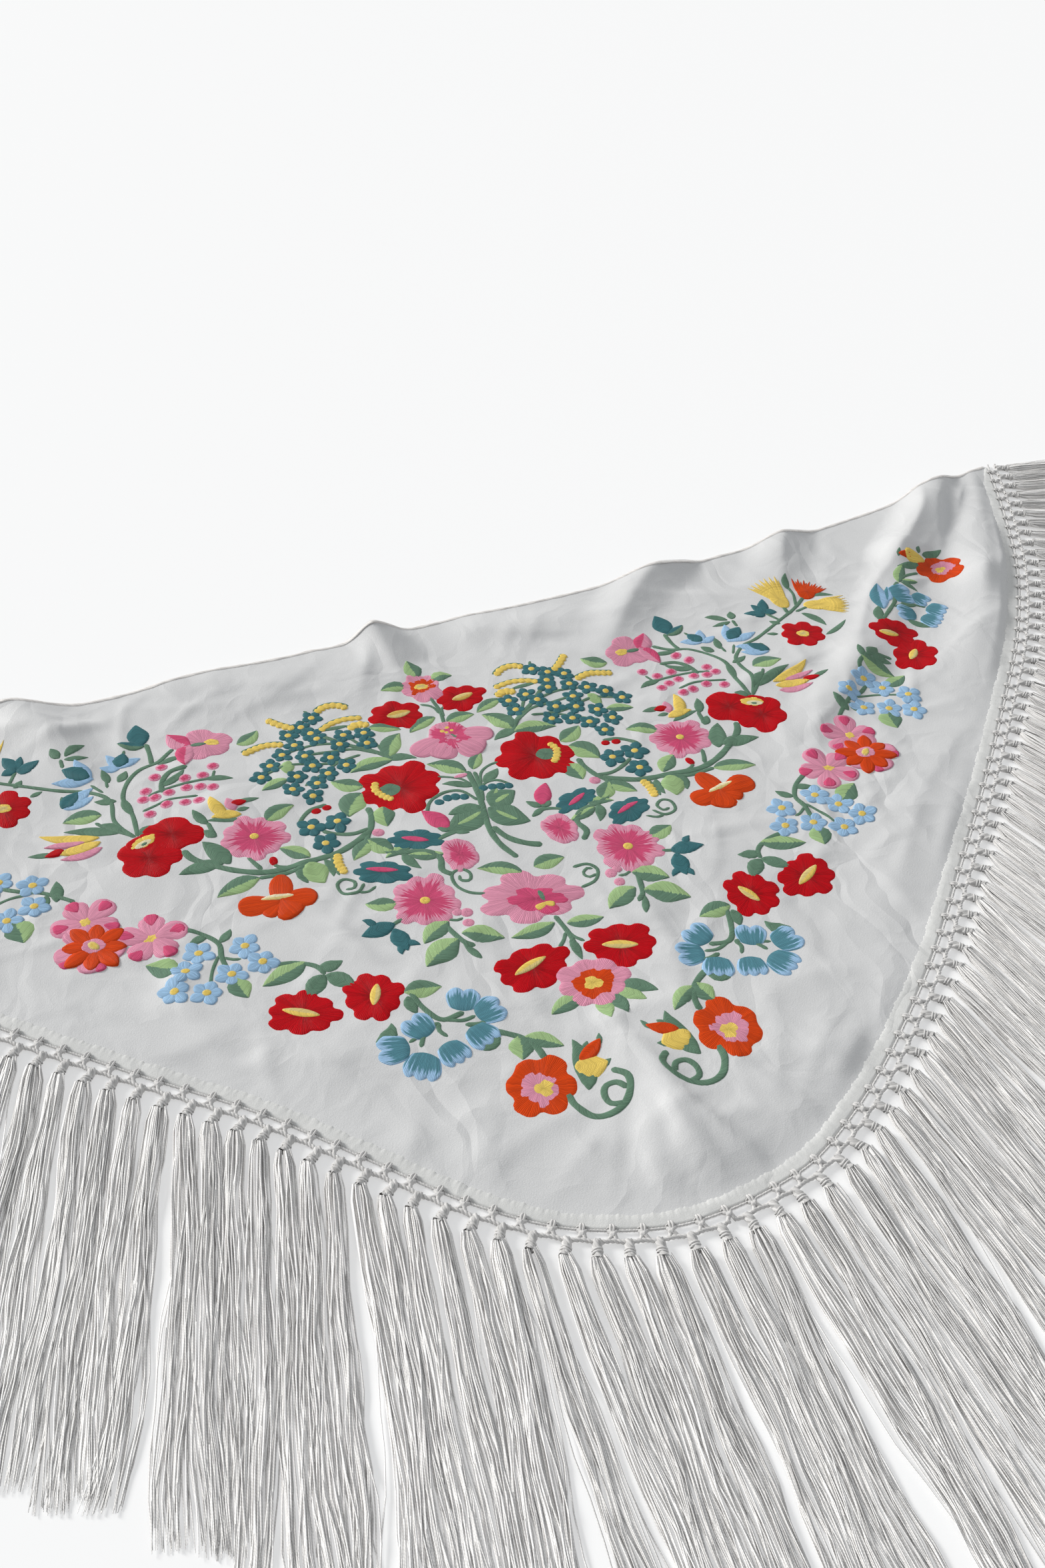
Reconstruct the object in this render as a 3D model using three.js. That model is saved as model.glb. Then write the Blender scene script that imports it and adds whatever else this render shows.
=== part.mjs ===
// A flamenco shawl laid flat: a triangle of crepe cloth with a rounded point, a turned hem on its two legs,
// a narrow rolled hem on its long straight edge, and a knotted fringe along both legs. Millimetres, +Z up,
// +X along the long edge, the point towards -Y. The origin is on the cloth's axis, on the surface it lies on.
import * as THREE from "three";

// Driving dimensions of the cloth.
const CLOTH_THICKNESS = 1.2;
const CORNER_CUT = 5; // how far the grid stops before each sharp corner
const HEM_WIDTH = 8.5; // turned hem along the two legs
const HEM_THICKNESS = 0.6;
const ROLLED_HEM_WIDTH = 5; // along the straight edge
const ROLLED_HEM_THICKNESS = 0.9;
const SEAM_GAP = 0.3; // between pieces that lie on or beside each other
const COLUMNS = 72; // of the cloth's grid, along the long edge
const ROWS = 12; // from the legs to the long edge

// Driving dimensions of the fringe.
const TASSELS = 114; // along both legs together
const FRINGE_LENGTH = 212; // from the neck of a tassel to its end
const FRINGE_LIFT = 0.5; // the yarn lies just above the surface
const HEADER = { inner: 0.45, cordOut: 2, holeOut: 6, bottomOut: 7.7, thickness: 1.8, knotWidth: 5 };
const NECK = { width: 4.2, length: 9, height: 3.6 };
const LOCK_TOP_SHARE = 0.62; // a tassel is narrower at its top than along its underside
const LOCK_GAP = 0.8; // at least this wide between two tassels

// The legs of the cloth: the hem's y at each distance from the axis, on the right and on the left.
const LEGS = [
  { out: 0, right: -251, left: -251 },
  { out: 26, right: -248, left: -250 },
  { out: 54, right: -241, left: -242 },
  { out: 81, right: -227, left: -229 },
  { out: 113, right: -206, left: -203 },
  { out: 145, right: -181, left: -168 },
  { out: 190, right: -142, left: -119 },
  { out: 240, right: -92, left: -75 },
  { out: 300, right: -31, left: -20 },
  { out: 360, right: 33, left: 38 },
  { out: 420, right: 100, left: 103 },
  { out: 470, right: 169, left: 170 },
  { out: 510, right: 243, left: 243 },
  { out: 543, right: 314, left: 314 },
];

// The long edge, which dips in the middle, from the left corner to the right one.
const LONG_EDGE = [
  { x: -543, y: 314 },
  { x: -450, y: 290 },
  { x: -350, y: 268 },
  { x: -262, y: 248 },
  { x: -215, y: 240 },
  { x: -120, y: 243 },
  { x: -45, y: 245 },
  { x: 30, y: 249 },
  { x: 116, y: 252 },
  { x: 224, y: 257 },
  { x: 298, y: 264 },
  { x: 411, y: 279 },
  { x: 480, y: 296 },
  { x: 543, y: 314 },
];

// The largest folds: each a ridge between two points, with its sideways bow and the height of its ends.
const FOLDS = [
  { x1: -17, y1: 262, x2: 3, y2: 205, bow: 3, high: 16, low: 1, halfWidth: 25 },
  { x1: 224, y1: 268, x2: 140, y2: 188, bow: -4, high: 9, low: 1.5, halfWidth: 30 },
  { x1: 330, y1: 282, x2: 275, y2: 205, bow: 3, high: 9, low: 1.5, halfWidth: 30 },
  { x1: 492, y1: 318, x2: 395, y2: 215, bow: 6, high: 11, low: 6, halfWidth: 28 },
  { x1: 395, y1: 215, x2: 296, y2: 112, bow: 5, high: 6, low: 4, halfWidth: 28 },
  { x1: 296, y1: 112, x2: 205, y2: 40, bow: -4, high: 4, low: 1, halfWidth: 26 },
  { x1: 528, y1: 292, x2: 440, y2: 170, bow: -6, high: 4, low: 5, halfWidth: 30 },
  { x1: 440, y1: 170, x2: 345, y2: 62, bow: 6, high: 5, low: 1, halfWidth: 34 },
  { x1: -262, y1: 262, x2: -226, y2: 182, bow: 5, high: 10, low: 2, halfWidth: 32 },
  { x1: -345, y1: 276, x2: -300, y2: 190, bow: 5, high: 7, low: 2, halfWidth: 32 },
  { x1: -430, y1: 294, x2: -330, y2: 160, bow: -6, high: 8, low: 3, halfWidth: 32 },
  { x1: -500, y1: 308, x2: -405, y2: 160, bow: 6, high: 7, low: 3, halfWidth: 30 },
  { x1: -150, y1: 232, x2: -95, y2: 214, bow: 3, high: 3, low: 2, halfWidth: 30 },
  { x1: 60, y1: 232, x2: 120, y2: 226, bow: -3, high: 3, low: 2, halfWidth: 28 },
  { x1: -205, y1: -30, x2: -150, y2: -92, bow: -5, high: 2.5, low: 1.5, halfWidth: 34 },
  { x1: 235, y1: -40, x2: 180, y2: -110, bow: 5, high: 2, low: 1.5, halfWidth: 34 },
  { x1: 8, y1: -150, x2: 4, y2: -236, bow: 3, high: 1, low: 2.5, halfWidth: 22 },
];

// The way the fringe hangs, in degrees from -Y towards +X, at each share of the way along the legs, from the
// left corner (0) over the point (0.5) to the right corner (1).
const HANG = [
  { along: 0, degrees: -86 },
  { along: 0.05, degrees: -70 },
  { along: 0.12, degrees: -48 },
  { along: 0.2, degrees: -31 },
  { along: 0.28, degrees: -19 },
  { along: 0.38, degrees: -13 },
  { along: 0.46, degrees: -6 },
  { along: 0.54, degrees: 0 },
  { along: 0.62, degrees: 6 },
  { along: 0.72, degrees: 15 },
  { along: 0.8, degrees: 27 },
  { along: 0.88, degrees: 46 },
  { along: 0.95, degrees: 70 },
  { along: 1, degrees: 86 },
];

// The tassels lie in clumps. Each row is a gap between two clumps: the tassel it follows, and its width at the ends.
const CLUMP_GAPS = [
  { after: -1, width: 0 },
  { after: 4, width: 4 },
  { after: 9, width: 7 },
  { after: 15, width: 5 },
  { after: 21, width: 8 },
  { after: 27, width: 5 },
  { after: 32, width: 11 },
  { after: 33, width: 8 },
  { after: 37, width: 7 },
  { after: 40, width: 12 },
  { after: 46, width: 5 },
  { after: 50, width: 12 },
  { after: 54, width: 12 },
  { after: 55, width: 7 },
  { after: 57, width: 5 },
  { after: 59, width: 15 },
  { after: 64, width: 6 },
  { after: 69, width: 8 },
  { after: 75, width: 5 },
  { after: 81, width: 7 },
  { after: 88, width: 5 },
  { after: 94, width: 6 },
  { after: 101, width: 4 },
  { after: 107, width: 4 },
  { after: 113, width: 0 },
];

// The half width of a tassel at shares of its length below the neck, as a share of the room it has.
const LOCK_SHAPE = [
  { at: 0.03, half: 0.31, height: 4.4 },
  { at: 0.12, half: 0.37, height: 4.2 },
  { at: 0.32, half: 0.43, height: 3.4 },
  { at: 0.6, half: 0.46, height: 2.8 },
  { at: 0.85, half: 0.46, height: 2.4 },
  { at: 1, half: 0.3, height: 1.6 },
];

const CLOTH_COLOUR = 0xecebe8;
const HEM_COLOUR = 0xf1f0ec;
const YARN_COLOUR = 0xc9c5be;

// Reads a table of rows at a value of its first column, with straight stretches between the rows.
function readTable(rows, key, column, value) {
  const last = rows.length - 1;
  if (value <= rows[0][key]) return rows[0][column];
  if (value >= rows[last][key]) return rows[last][column];
  const k = rows.findIndex((row) => row[key] > value);
  const [a, b] = [rows[k - 1], rows[k]];
  return THREE.MathUtils.lerp(a[column], b[column], (value - a[key]) / (b[key] - a[key]));
}

// The curve of both legs, from the left corner over the point to the right corner.
function legCurve() {
  const left = LEGS.slice(1).reverse().map((row) => new THREE.Vector3(-row.out, row.left, 0));
  const right = LEGS.map((row) => new THREE.Vector3(row.out, row.right, 0));
  return withEvenLength(new THREE.CatmullRomCurve3([...left, ...right], false, "centripetal"));
}

function longEdgeCurve() {
  const points = LONG_EDGE.map((row) => new THREE.Vector3(row.x, row.y, 0));
  return withEvenLength(new THREE.CatmullRomCurve3(points, false, "centripetal"));
}

function withEvenLength(curve) {
  curve.arcLengthDivisions = 1200;
  curve.updateArcLengths();
  return curve;
}

const legs = legCurve();
const longEdge = longEdgeCurve();
const legsLength = legs.getLength();

// How high the cloth is lifted off the surface at a place, in mm.
function lift(x, y) {
  let height = 0;
  for (const fold of FOLDS) {
    const [dx, dy] = [fold.x2 - fold.x1, fold.y2 - fold.y1];
    const length = Math.hypot(dx, dy);
    const along = ((x - fold.x1) * dx + (y - fold.y1) * dy) / length;
    const share = THREE.MathUtils.clamp(along / length, 0, 1);
    const beyond = along - share * length;
    const aside = ((y - fold.y1) * dx - (x - fold.x1) * dy) / length - fold.bow * Math.sin(Math.PI * share);
    const away = Math.hypot(aside, beyond) / fold.halfWidth;
    const crest = THREE.MathUtils.lerp(fold.high, fold.low, share);
    if (away < 1) height += crest * (0.5 + 0.5 * Math.cos(Math.PI * away));
  }
  return height * legClearance(x, y);
}

// Folds die out towards the fringed legs, so that the hem lies flat.
function legClearance(x, y) {
  const out = Math.min(Math.abs(x), LEGS[LEGS.length - 1].out);
  const above = y - readTable(LEGS, "out", x < 0 ? "left" : "right", out);
  return THREE.MathUtils.smoothstep(above, 6, 46);
}

// A closed solid from a grid of points, each with a top and a bottom, where some cells can be left out.
// u runs along the grid's first index and v along its second. handed is 1 where u, v and +Z are right-handed.
function gridSolid(points, present, handed) {
  const positions = [];
  const quad = (a, b, c, d) => {
    const corners = handed > 0 ? [a, b, c, a, c, d] : [a, c, b, a, d, c];
    for (const p of corners) positions.push(p.x, p.y, p.z);
  };
  const has = (i, j) => i >= 0 && j >= 0 && i < points.length - 1 && j < points[0].length - 1 && present(i, j);
  for (let i = 0; i < points.length - 1; i++) {
    for (let j = 0; j < points[i].length - 1; j++) {
      if (!has(i, j)) continue;
      const [p, q, r, s] = [points[i][j], points[i + 1][j], points[i + 1][j + 1], points[i][j + 1]];
      quad(p.top, q.top, r.top, s.top);
      quad(r.bottom, q.bottom, p.bottom, s.bottom);
      if (!has(i, j - 1)) quad(p.bottom, q.bottom, q.top, p.top);
      if (!has(i, j + 1)) quad(r.bottom, s.bottom, s.top, r.top);
      if (!has(i - 1, j)) quad(s.bottom, p.bottom, p.top, s.top);
      if (!has(i + 1, j)) quad(q.bottom, r.bottom, r.top, q.top);
    }
  }
  const geometry = new THREE.BufferGeometry();
  geometry.setAttribute("position", new THREE.Float32BufferAttribute(positions, 3));
  geometry.computeVertexNormals();
  return geometry;
}

// The cloth's grid of places: column i runs straight from the hem of a leg to the long edge.
// Its first row is the turned hem's width and its last row the rolled hem's.
function clothGrid() {
  const grid = [];
  const cut = CORNER_CUT / legsLength;
  const cutAbove = CORNER_CUT / longEdge.getLength();
  for (let i = 0; i <= COLUMNS; i++) {
    const share = i / COLUMNS;
    const low = legs.getPointAt(THREE.MathUtils.lerp(cut, 1 - cut, share));
    const high = longEdge.getPointAt(THREE.MathUtils.lerp(cutAbove, 1 - cutAbove, share));
    const column = high.clone().sub(low);
    const length = column.length();
    column.divideScalar(length);
    const tangent = legs.getTangentAt(THREE.MathUtils.lerp(cut, 1 - cut, share));
    const slant = Math.abs(tangent.x * column.y - tangent.y * column.x);
    const hem = Math.min(HEM_WIDTH / slant, 0.4 * length);
    const rolled = Math.min(ROLLED_HEM_WIDTH, 0.25 * length);
    const row = [low];
    for (let j = 1; j < ROWS; j++) {
      const inner = (j - 1) / (ROWS - 2);
      row.push(low.clone().addScaledVector(column, THREE.MathUtils.lerp(hem, length - rolled, inner)));
    }
    row.push(high);
    grid.push(row.map((p) => new THREE.Vector3(p.x, p.y, lift(p.x, p.y))));
  }
  return grid;
}

// A layer over part of the cloth's grid, from one height above the cloth's underside to another.
function layer(grid, firstRow, lastRow, from, to, inset = 0) {
  const points = grid.slice(inset, grid.length - inset).map((column) =>
    column.slice(firstRow, lastRow + 1).map((p) => ({
      bottom: new THREE.Vector3(p.x, p.y, p.z + from),
      top: new THREE.Vector3(p.x, p.y, p.z + to),
    })),
  );
  return gridSolid(points, () => true, 1);
}

// The outward side of the legs' curve at a share of its length.
function legFrame(share) {
  const point = legs.getPointAt(share);
  const tangent = legs.getTangentAt(share);
  return { point, tangent, outward: new THREE.Vector3(tangent.y, -tangent.x, 0) };
}

// How far a tassel's end leans sideways, in mm: away from the gap beside its clump, and not at all mid-clump.
function leanOf(index) {
  const k = CLUMP_GAPS.findIndex((row) => row.after >= index);
  const [before, next] = [CLUMP_GAPS[k - 1], CLUMP_GAPS[k]];
  const share = (index - before.after - 0.5) / (next.after - before.after);
  return THREE.MathUtils.lerp(before.width, -next.width, share) / 2;
}

// Some tassels are a little longer than others.
function lengthOf(index) {
  return FRINGE_LENGTH * (1 + 0.03 * Math.sin(index * 1.9) + 0.02 * Math.sin(index * 0.67));
}

// A tassel's middle line: where its neck ends, and then a place at each row of LOCK_SHAPE.
function tasselLine(index) {
  const share = (index + 0.5) / TASSELS;
  const { point, tangent, outward } = legFrame(share);
  const angle = THREE.MathUtils.degToRad(readTable(HANG, "along", "degrees", share));
  const hang = new THREE.Vector3(Math.sin(angle), -Math.cos(angle), 0);
  const across = new THREE.Vector3(-hang.y, hang.x, 0);
  const neckEnd = point.clone().addScaledVector(outward, HEADER.bottomOut + NECK.length);
  const places = LOCK_SHAPE.map(({ at }) => {
    const place = neckEnd.clone().addScaledVector(hang, lengthOf(index) * at);
    return place.addScaledVector(across, leanOf(index) * at ** 1.4);
  });
  return { neckEnd, tangent, across, places, room: (legsLength / TASSELS) * outward.dot(hang) };
}

// A tassel's sections: its neck leaves the header straight out, then its lock turns to the way it hangs and
// spreads, but never so far that it touches the next tassel.
function tasselSections(index) {
  const line = tasselLine(index);
  const beside = [index - 1, index + 1].map((n) => tasselLine(THREE.MathUtils.clamp(n, 0, TASSELS - 1)).places);
  const half = NECK.width / 2;
  const neck = { centre: line.neckEnd, side: line.tangent, halves: [half, half], height: NECK.height };
  const lock = LOCK_SHAPE.map((row, k) => {
    const centre = line.places[k];
    const halves = beside.map((places) => {
      const between = Math.abs(places[k].clone().sub(centre).dot(line.across)) || Infinity;
      return Math.min(line.room * row.half, (between - LOCK_GAP) / 2);
    });
    return { centre, side: line.across, halves, height: row.height };
  });
  return [neck, ...lock];
}

// The header's four lines across its width at a share of the legs' length.
function headerPoints(share) {
  const { point, outward } = legFrame(share);
  return [HEADER.inner, HEADER.cordOut, HEADER.holeOut, HEADER.bottomOut].map((out) => {
    const p = point.clone().addScaledVector(outward, out);
    return { bottom: p.clone().setZ(FRINGE_LIFT), top: p.clone().setZ(FRINGE_LIFT + HEADER.thickness) };
  });
}

// The start of a header where the other side's ends: half of the knot between two tassels, and no tassel.
function headerStart(index) {
  const header = headerPoints(index / TASSELS - (HEADER.knotWidth / 2 - SEAM_GAP) / legsLength);
  const unused = Array.from({ length: LOCK_SHAPE.length + 1 }, () => header[header.length - 1]);
  return [...header, ...unused];
}

// One side's fringe: an openwork header with a knot between every two tassels and a hole above each tassel.
// Below its hole, a tassel gathers from the lower cord into its neck.
function fringeGeometry(first, last) {
  const points = [];
  const tassels = new Set();
  if (first > 0) points.push(headerStart(first));
  for (let index = first; index < last; index++) {
    tassels.add(points.length);
    const sections = tasselSections(index);
    for (const [k, sign] of [-1, 1].entries()) {
      const share = (index + (sign > 0 ? 1 : 0)) / TASSELS - (sign * HEADER.knotWidth) / 2 / legsLength;
      const lock = sections.map(({ centre, side, halves, height }) => {
        const wide = centre.clone().addScaledVector(side, sign * halves[k]);
        const narrow = centre.clone().addScaledVector(side, sign * halves[k] * LOCK_TOP_SHARE);
        return { bottom: wide.setZ(FRINGE_LIFT), top: narrow.setZ(FRINGE_LIFT + height) };
      });
      points.push([...headerPoints(share), ...lock]);
    }
  }
  const holeRow = 1;
  const headerRows = 3;
  return gridSolid(points, (i, j) => (tassels.has(i) ? j !== holeRow : j < headerRows), -1);
}

function mesh(name, geometry, colour, roughness) {
  const material = new THREE.MeshStandardMaterial({ color: colour, roughness, metalness: 0 });
  const made = new THREE.Mesh(geometry, material);
  made.name = name;
  return made;
}

const shawl = new THREE.Group();
const grid = clothGrid();
const onCloth = CLOTH_THICKNESS + SEAM_GAP;

shawl.add(mesh("cloth_panel", layer(grid, 0, ROWS, 0, CLOTH_THICKNESS), CLOTH_COLOUR, 0.6));
shawl.add(mesh("leg_hem", layer(grid, 0, 1, onCloth, onCloth + HEM_THICKNESS), HEM_COLOUR, 0.65));
shawl.add(
  mesh("rolled_hem", layer(grid, ROWS - 1, ROWS, onCloth, onCloth + ROLLED_HEM_THICKNESS, 1), HEM_COLOUR, 0.65),
);
shawl.add(mesh("fringe_left", fringeGeometry(0, TASSELS / 2), YARN_COLOUR, 0.5));
shawl.add(mesh("fringe_right", fringeGeometry(TASSELS / 2, TASSELS), YARN_COLOUR, 0.5));

export default shawl;
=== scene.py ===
# The looks of a flamenco shawl laid flat: crepe cloth, satin stitch, turned hems and a knotted fringe.
# Tables and helpers are in millimetres, in the part's frame; meshes are written in metres.
import math

import bpy
import numpy as np
from mathutils import Matrix, Vector


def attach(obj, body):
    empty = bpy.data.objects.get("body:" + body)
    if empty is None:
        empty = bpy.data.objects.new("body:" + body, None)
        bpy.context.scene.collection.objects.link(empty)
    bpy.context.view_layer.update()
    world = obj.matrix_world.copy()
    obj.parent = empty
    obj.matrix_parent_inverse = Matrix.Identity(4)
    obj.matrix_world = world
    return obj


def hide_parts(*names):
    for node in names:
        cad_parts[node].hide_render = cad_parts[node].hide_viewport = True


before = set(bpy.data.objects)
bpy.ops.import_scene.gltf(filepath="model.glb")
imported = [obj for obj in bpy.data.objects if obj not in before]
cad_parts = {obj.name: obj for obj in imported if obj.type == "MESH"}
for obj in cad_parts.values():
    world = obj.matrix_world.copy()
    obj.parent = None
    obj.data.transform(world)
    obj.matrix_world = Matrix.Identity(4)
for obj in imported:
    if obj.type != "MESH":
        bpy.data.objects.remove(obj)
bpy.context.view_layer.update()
rng = np.random.default_rng(7)

MM = 0.001  # in metres
CLOTH_THICKNESS = 0.9
CORNER_CUT = 5.0  # what the corners lose along each edge
LEG_HEM = 8.5
TASSELS = 114
FRINGE_LENGTH = 212.0
HEADER_OUT = 7.7  # from the cloth's edge to where the necks begin
NECK_LENGTH = 9.0

# The legs of the cloth: distance from the axis, y on the right, y on the left.
LEGS = [
    (0, -251, -251), (26, -248, -250), (54, -241, -242), (81, -227, -229), (113, -206, -203),
    (145, -181, -168), (190, -142, -119), (240, -92, -75), (300, -31, -20), (360, 33, 38), (420, 100, 103),
    (470, 169, 170), (510, 243, 243), (543, 314, 314),
]
# The long edge: x, y.
LONG_EDGE = [
    (-543, 314), (-450, 290), (-350, 268), (-262, 248), (-215, 240), (-120, 243), (-45, 245), (30, 249),
    (116, 252), (224, 257), (298, 264), (411, 279), (480, 296), (543, 314),
]
# Folds: x1, y1, x2, y2, sideways bow, height at each end, half width.
FOLDS = [
    (-17, 262, 3, 205, 3, 16, 1, 25), (224, 268, 140, 188, -4, 9, 1.5, 30),
    (330, 282, 275, 205, 3, 9, 1.5, 30), (492, 318, 395, 215, 6, 11, 6, 28),
    (395, 215, 296, 112, 5, 6, 4, 28), (296, 112, 205, 40, -4, 4, 1, 26),
    (528, 292, 440, 170, -6, 4, 5, 30), (440, 170, 345, 62, 6, 5, 1, 34),
    (-262, 262, -226, 182, 5, 10, 2, 32), (-345, 276, -300, 190, 5, 7, 2, 32),
    (-430, 294, -330, 160, -6, 8, 3, 32), (-500, 308, -405, 160, 6, 7, 3, 30),
    (-150, 232, -95, 214, 3, 3, 2, 30), (60, 232, 120, 226, -3, 3, 2, 28),
    (-205, -30, -150, -92, -5, 2.5, 1.5, 34), (235, -40, 180, -110, 5, 2, 1.5, 34),
    (8, -150, 4, -236, 3, 1, 2.5, 22),
]
# Sharper creases: x1, y1, x2, y2, sideways bow, height, half width.
WRINKLES = [
    (-16, 268, -9, 200, 0, 2.6, 9), (225, 268, 140, 188, -3, 2.2, 9), (326, 272, 298, 222, 0, 1.8, 7),
    (462, 296, 392, 214, 8, 2.8, 8), (484, 290, 430, 214, -3, 2, 6), (502, 290, 476, 256, 0, 1.8, 5),
    (394, 217, 298, 122, -5, 2, 7), (500, 236, 418, 112, 6, 1.7, 9), (482, 192, 388, 68, -5, 1.4, 8),
    (296, 108, 224, 56, 4, 1.7, 6), (288, 130, 206, 112, 3, 1.1, 5), (-20, 228, -38, 190, 0, 1.3, 6),
    (-64, 250, -22, 208, 0, 1.1, 6), (104, 224, 76, 196, 0, 1, 6), (2, -126, 9, -228, 2, 1.9, 6),
    (-6, -180, -17, -232, 0, 1.4, 5), (43, -158, 78, -224, -3, 1.4, 6), (8, -180, 26, -228, 0, 1.3, 5),
    (96, -160, 120, -188, 0, 1.2, 6), (94, -12, 142, -60, 2, 1.1, 6), (206, 38, 304, -5, 4, 0.9, 8),
    (228, -90, 292, -36, 4, 1, 9), (340, 30, 250, -30, -4, 1, 9), (360, 100, 440, 130, 3, 1, 7),
    (-118, -150, -142, -182, 2, 1.5, 7), (-84, -178, -112, -212, 0, 1, 6), (-180, -60, -262, -66, 4, 1, 8),
    (-262, 256, -222, 176, 4, 2.2, 8), (-300, 230, -230, 214, 3, 1.2, 7), (-345, 270, -300, 186, 4, 1.8, 8),
    (-190, 226, -118, 206, -4, 1.3, 7), (-430, 290, -330, 158, -5, 2, 8), (-500, 304, -404, 158, 5, 1.8, 7),
    (-380, 90, -300, 20, 5, 1.2, 8), (-330, -10, -240, -78, -4, 1.1, 8), (-60, 228, -130, 190, 4, 1.1, 7),
    (180, 228, 250, 214, 3, 0.9, 7), (128, 205, 60, 228, 3, 0.9, 6), (28, 110, -24, 124, 2, 0.8, 5),
    (128, 12, 104, -40, 2, 0.9, 5), (-128, 12, -104, -44, 2, 0.9, 5), (18, -118, -14, -128, 2, 0.9, 5),
    (3, -171, -11, -224, 2, 1.6, 6), (3, -191, 8, -231, -2, 1.4, 6), (6, -191, 42, -226, 2, 1.5, 7),
    (19, -188, 54, -212, -2, 1.2, 8), (87, -135, 56, -202, 3, 1.4, 10), (122, -158, 67, -206, -3, 1.3, 8),
    (127, -172, 81, -211, 2, 1.1, 7), (-92, -147, -42, -203, 4, 1.3, 8), (-83, -163, -102, -190, 0, 1, 6),
    (-26, -193, -51, -209, 0, 0.9, 6), (101, -69, 80, -36, 0, 1, 5), (48, -39, 53, -80, 2, 1, 5),
    (59, -54, 40, -127, 3, 1, 6), (12, -122, 52, -123, 0, 0.9, 5), (-50, -35, -36, -81, 0, 0.9, 5),
    (91, -137, 148, -138, 3, 0.9, 8), (90, -174, 112, -197, 2, 1.2, 8), (17, -210, 32, -240, 2, 1, 6),
]
# The way the fringe hangs: share of the way along the legs, degrees from -Y towards +X.
HANG = [
    (0, -86), (0.05, -70), (0.12, -48), (0.2, -31), (0.28, -19), (0.38, -13), (0.46, -6), (0.54, 0),
    (0.62, 6), (0.72, 15), (0.8, 27), (0.88, 46), (0.95, 70), (1, 86),
]
# A tassel at shares of its length: its half width, as a share of its room, and its height.
LOCK = [
    (0, 0.25, 3.6), (0.012, 0.35, 4.6), (0.04, 0.38, 4.8), (0.12, 0.38, 4.4), (0.32, 0.43, 3.6),
    (0.6, 0.5, 2.8), (0.85, 0.53, 2.4), (1, 0.54, 1.6),
]
# The gaps between clumps of tassels: the tassel it follows, and its width at the tassels' ends.
CLUMP_GAPS = [
    (-1, 0), (4, 4), (9, 7), (15, 5), (21, 8), (27, 5), (32, 11), (33, 8), (37, 7), (40, 12), (46, 5),
    (50, 12), (54, 12), (55, 7), (57, 5), (59, 15), (64, 6), (69, 8), (75, 5), (81, 7), (88, 5), (94, 6),
    (101, 4), (107, 4), (113, 0),
]
# Where the yarns part a little more than their solid does, counted in tassels from the left corner.
PARTINGS = np.array([5, 11, 18, 23, 31, 37, 44, 50, 58, 64, 71, 77, 85, 92, 98])

# Thread colours, as sRGB. A patch's colours are one letter of this palette, or two where it has two fields.
PALETTE = {
    "R": (190, 2, 18), "D": (170, 2, 15), "O": (212, 68, 14), "P": (224, 150, 174), "K": (214, 82, 122),
    "T": (62, 112, 118), "G": (102, 134, 112), "L": (162, 192, 136), "Y": (238, 206, 104),
    "B": (158, 194, 226), "S": (88, 140, 154), "W": (238, 226, 190), "A": (214, 176, 92), "H": (224, 202, 134),
}
CLOTH_COLOUR, HEM_COLOUR, ROLL_COLOUR = (237, 236, 234), (244, 244, 242), (240, 236, 232)
# The needle holes' dark colour is painted shade in the holes.
YARN_COLOUR, HOLE_SHADE_COLOUR = np.array([245, 243, 241]), (96, 90, 88)

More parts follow.
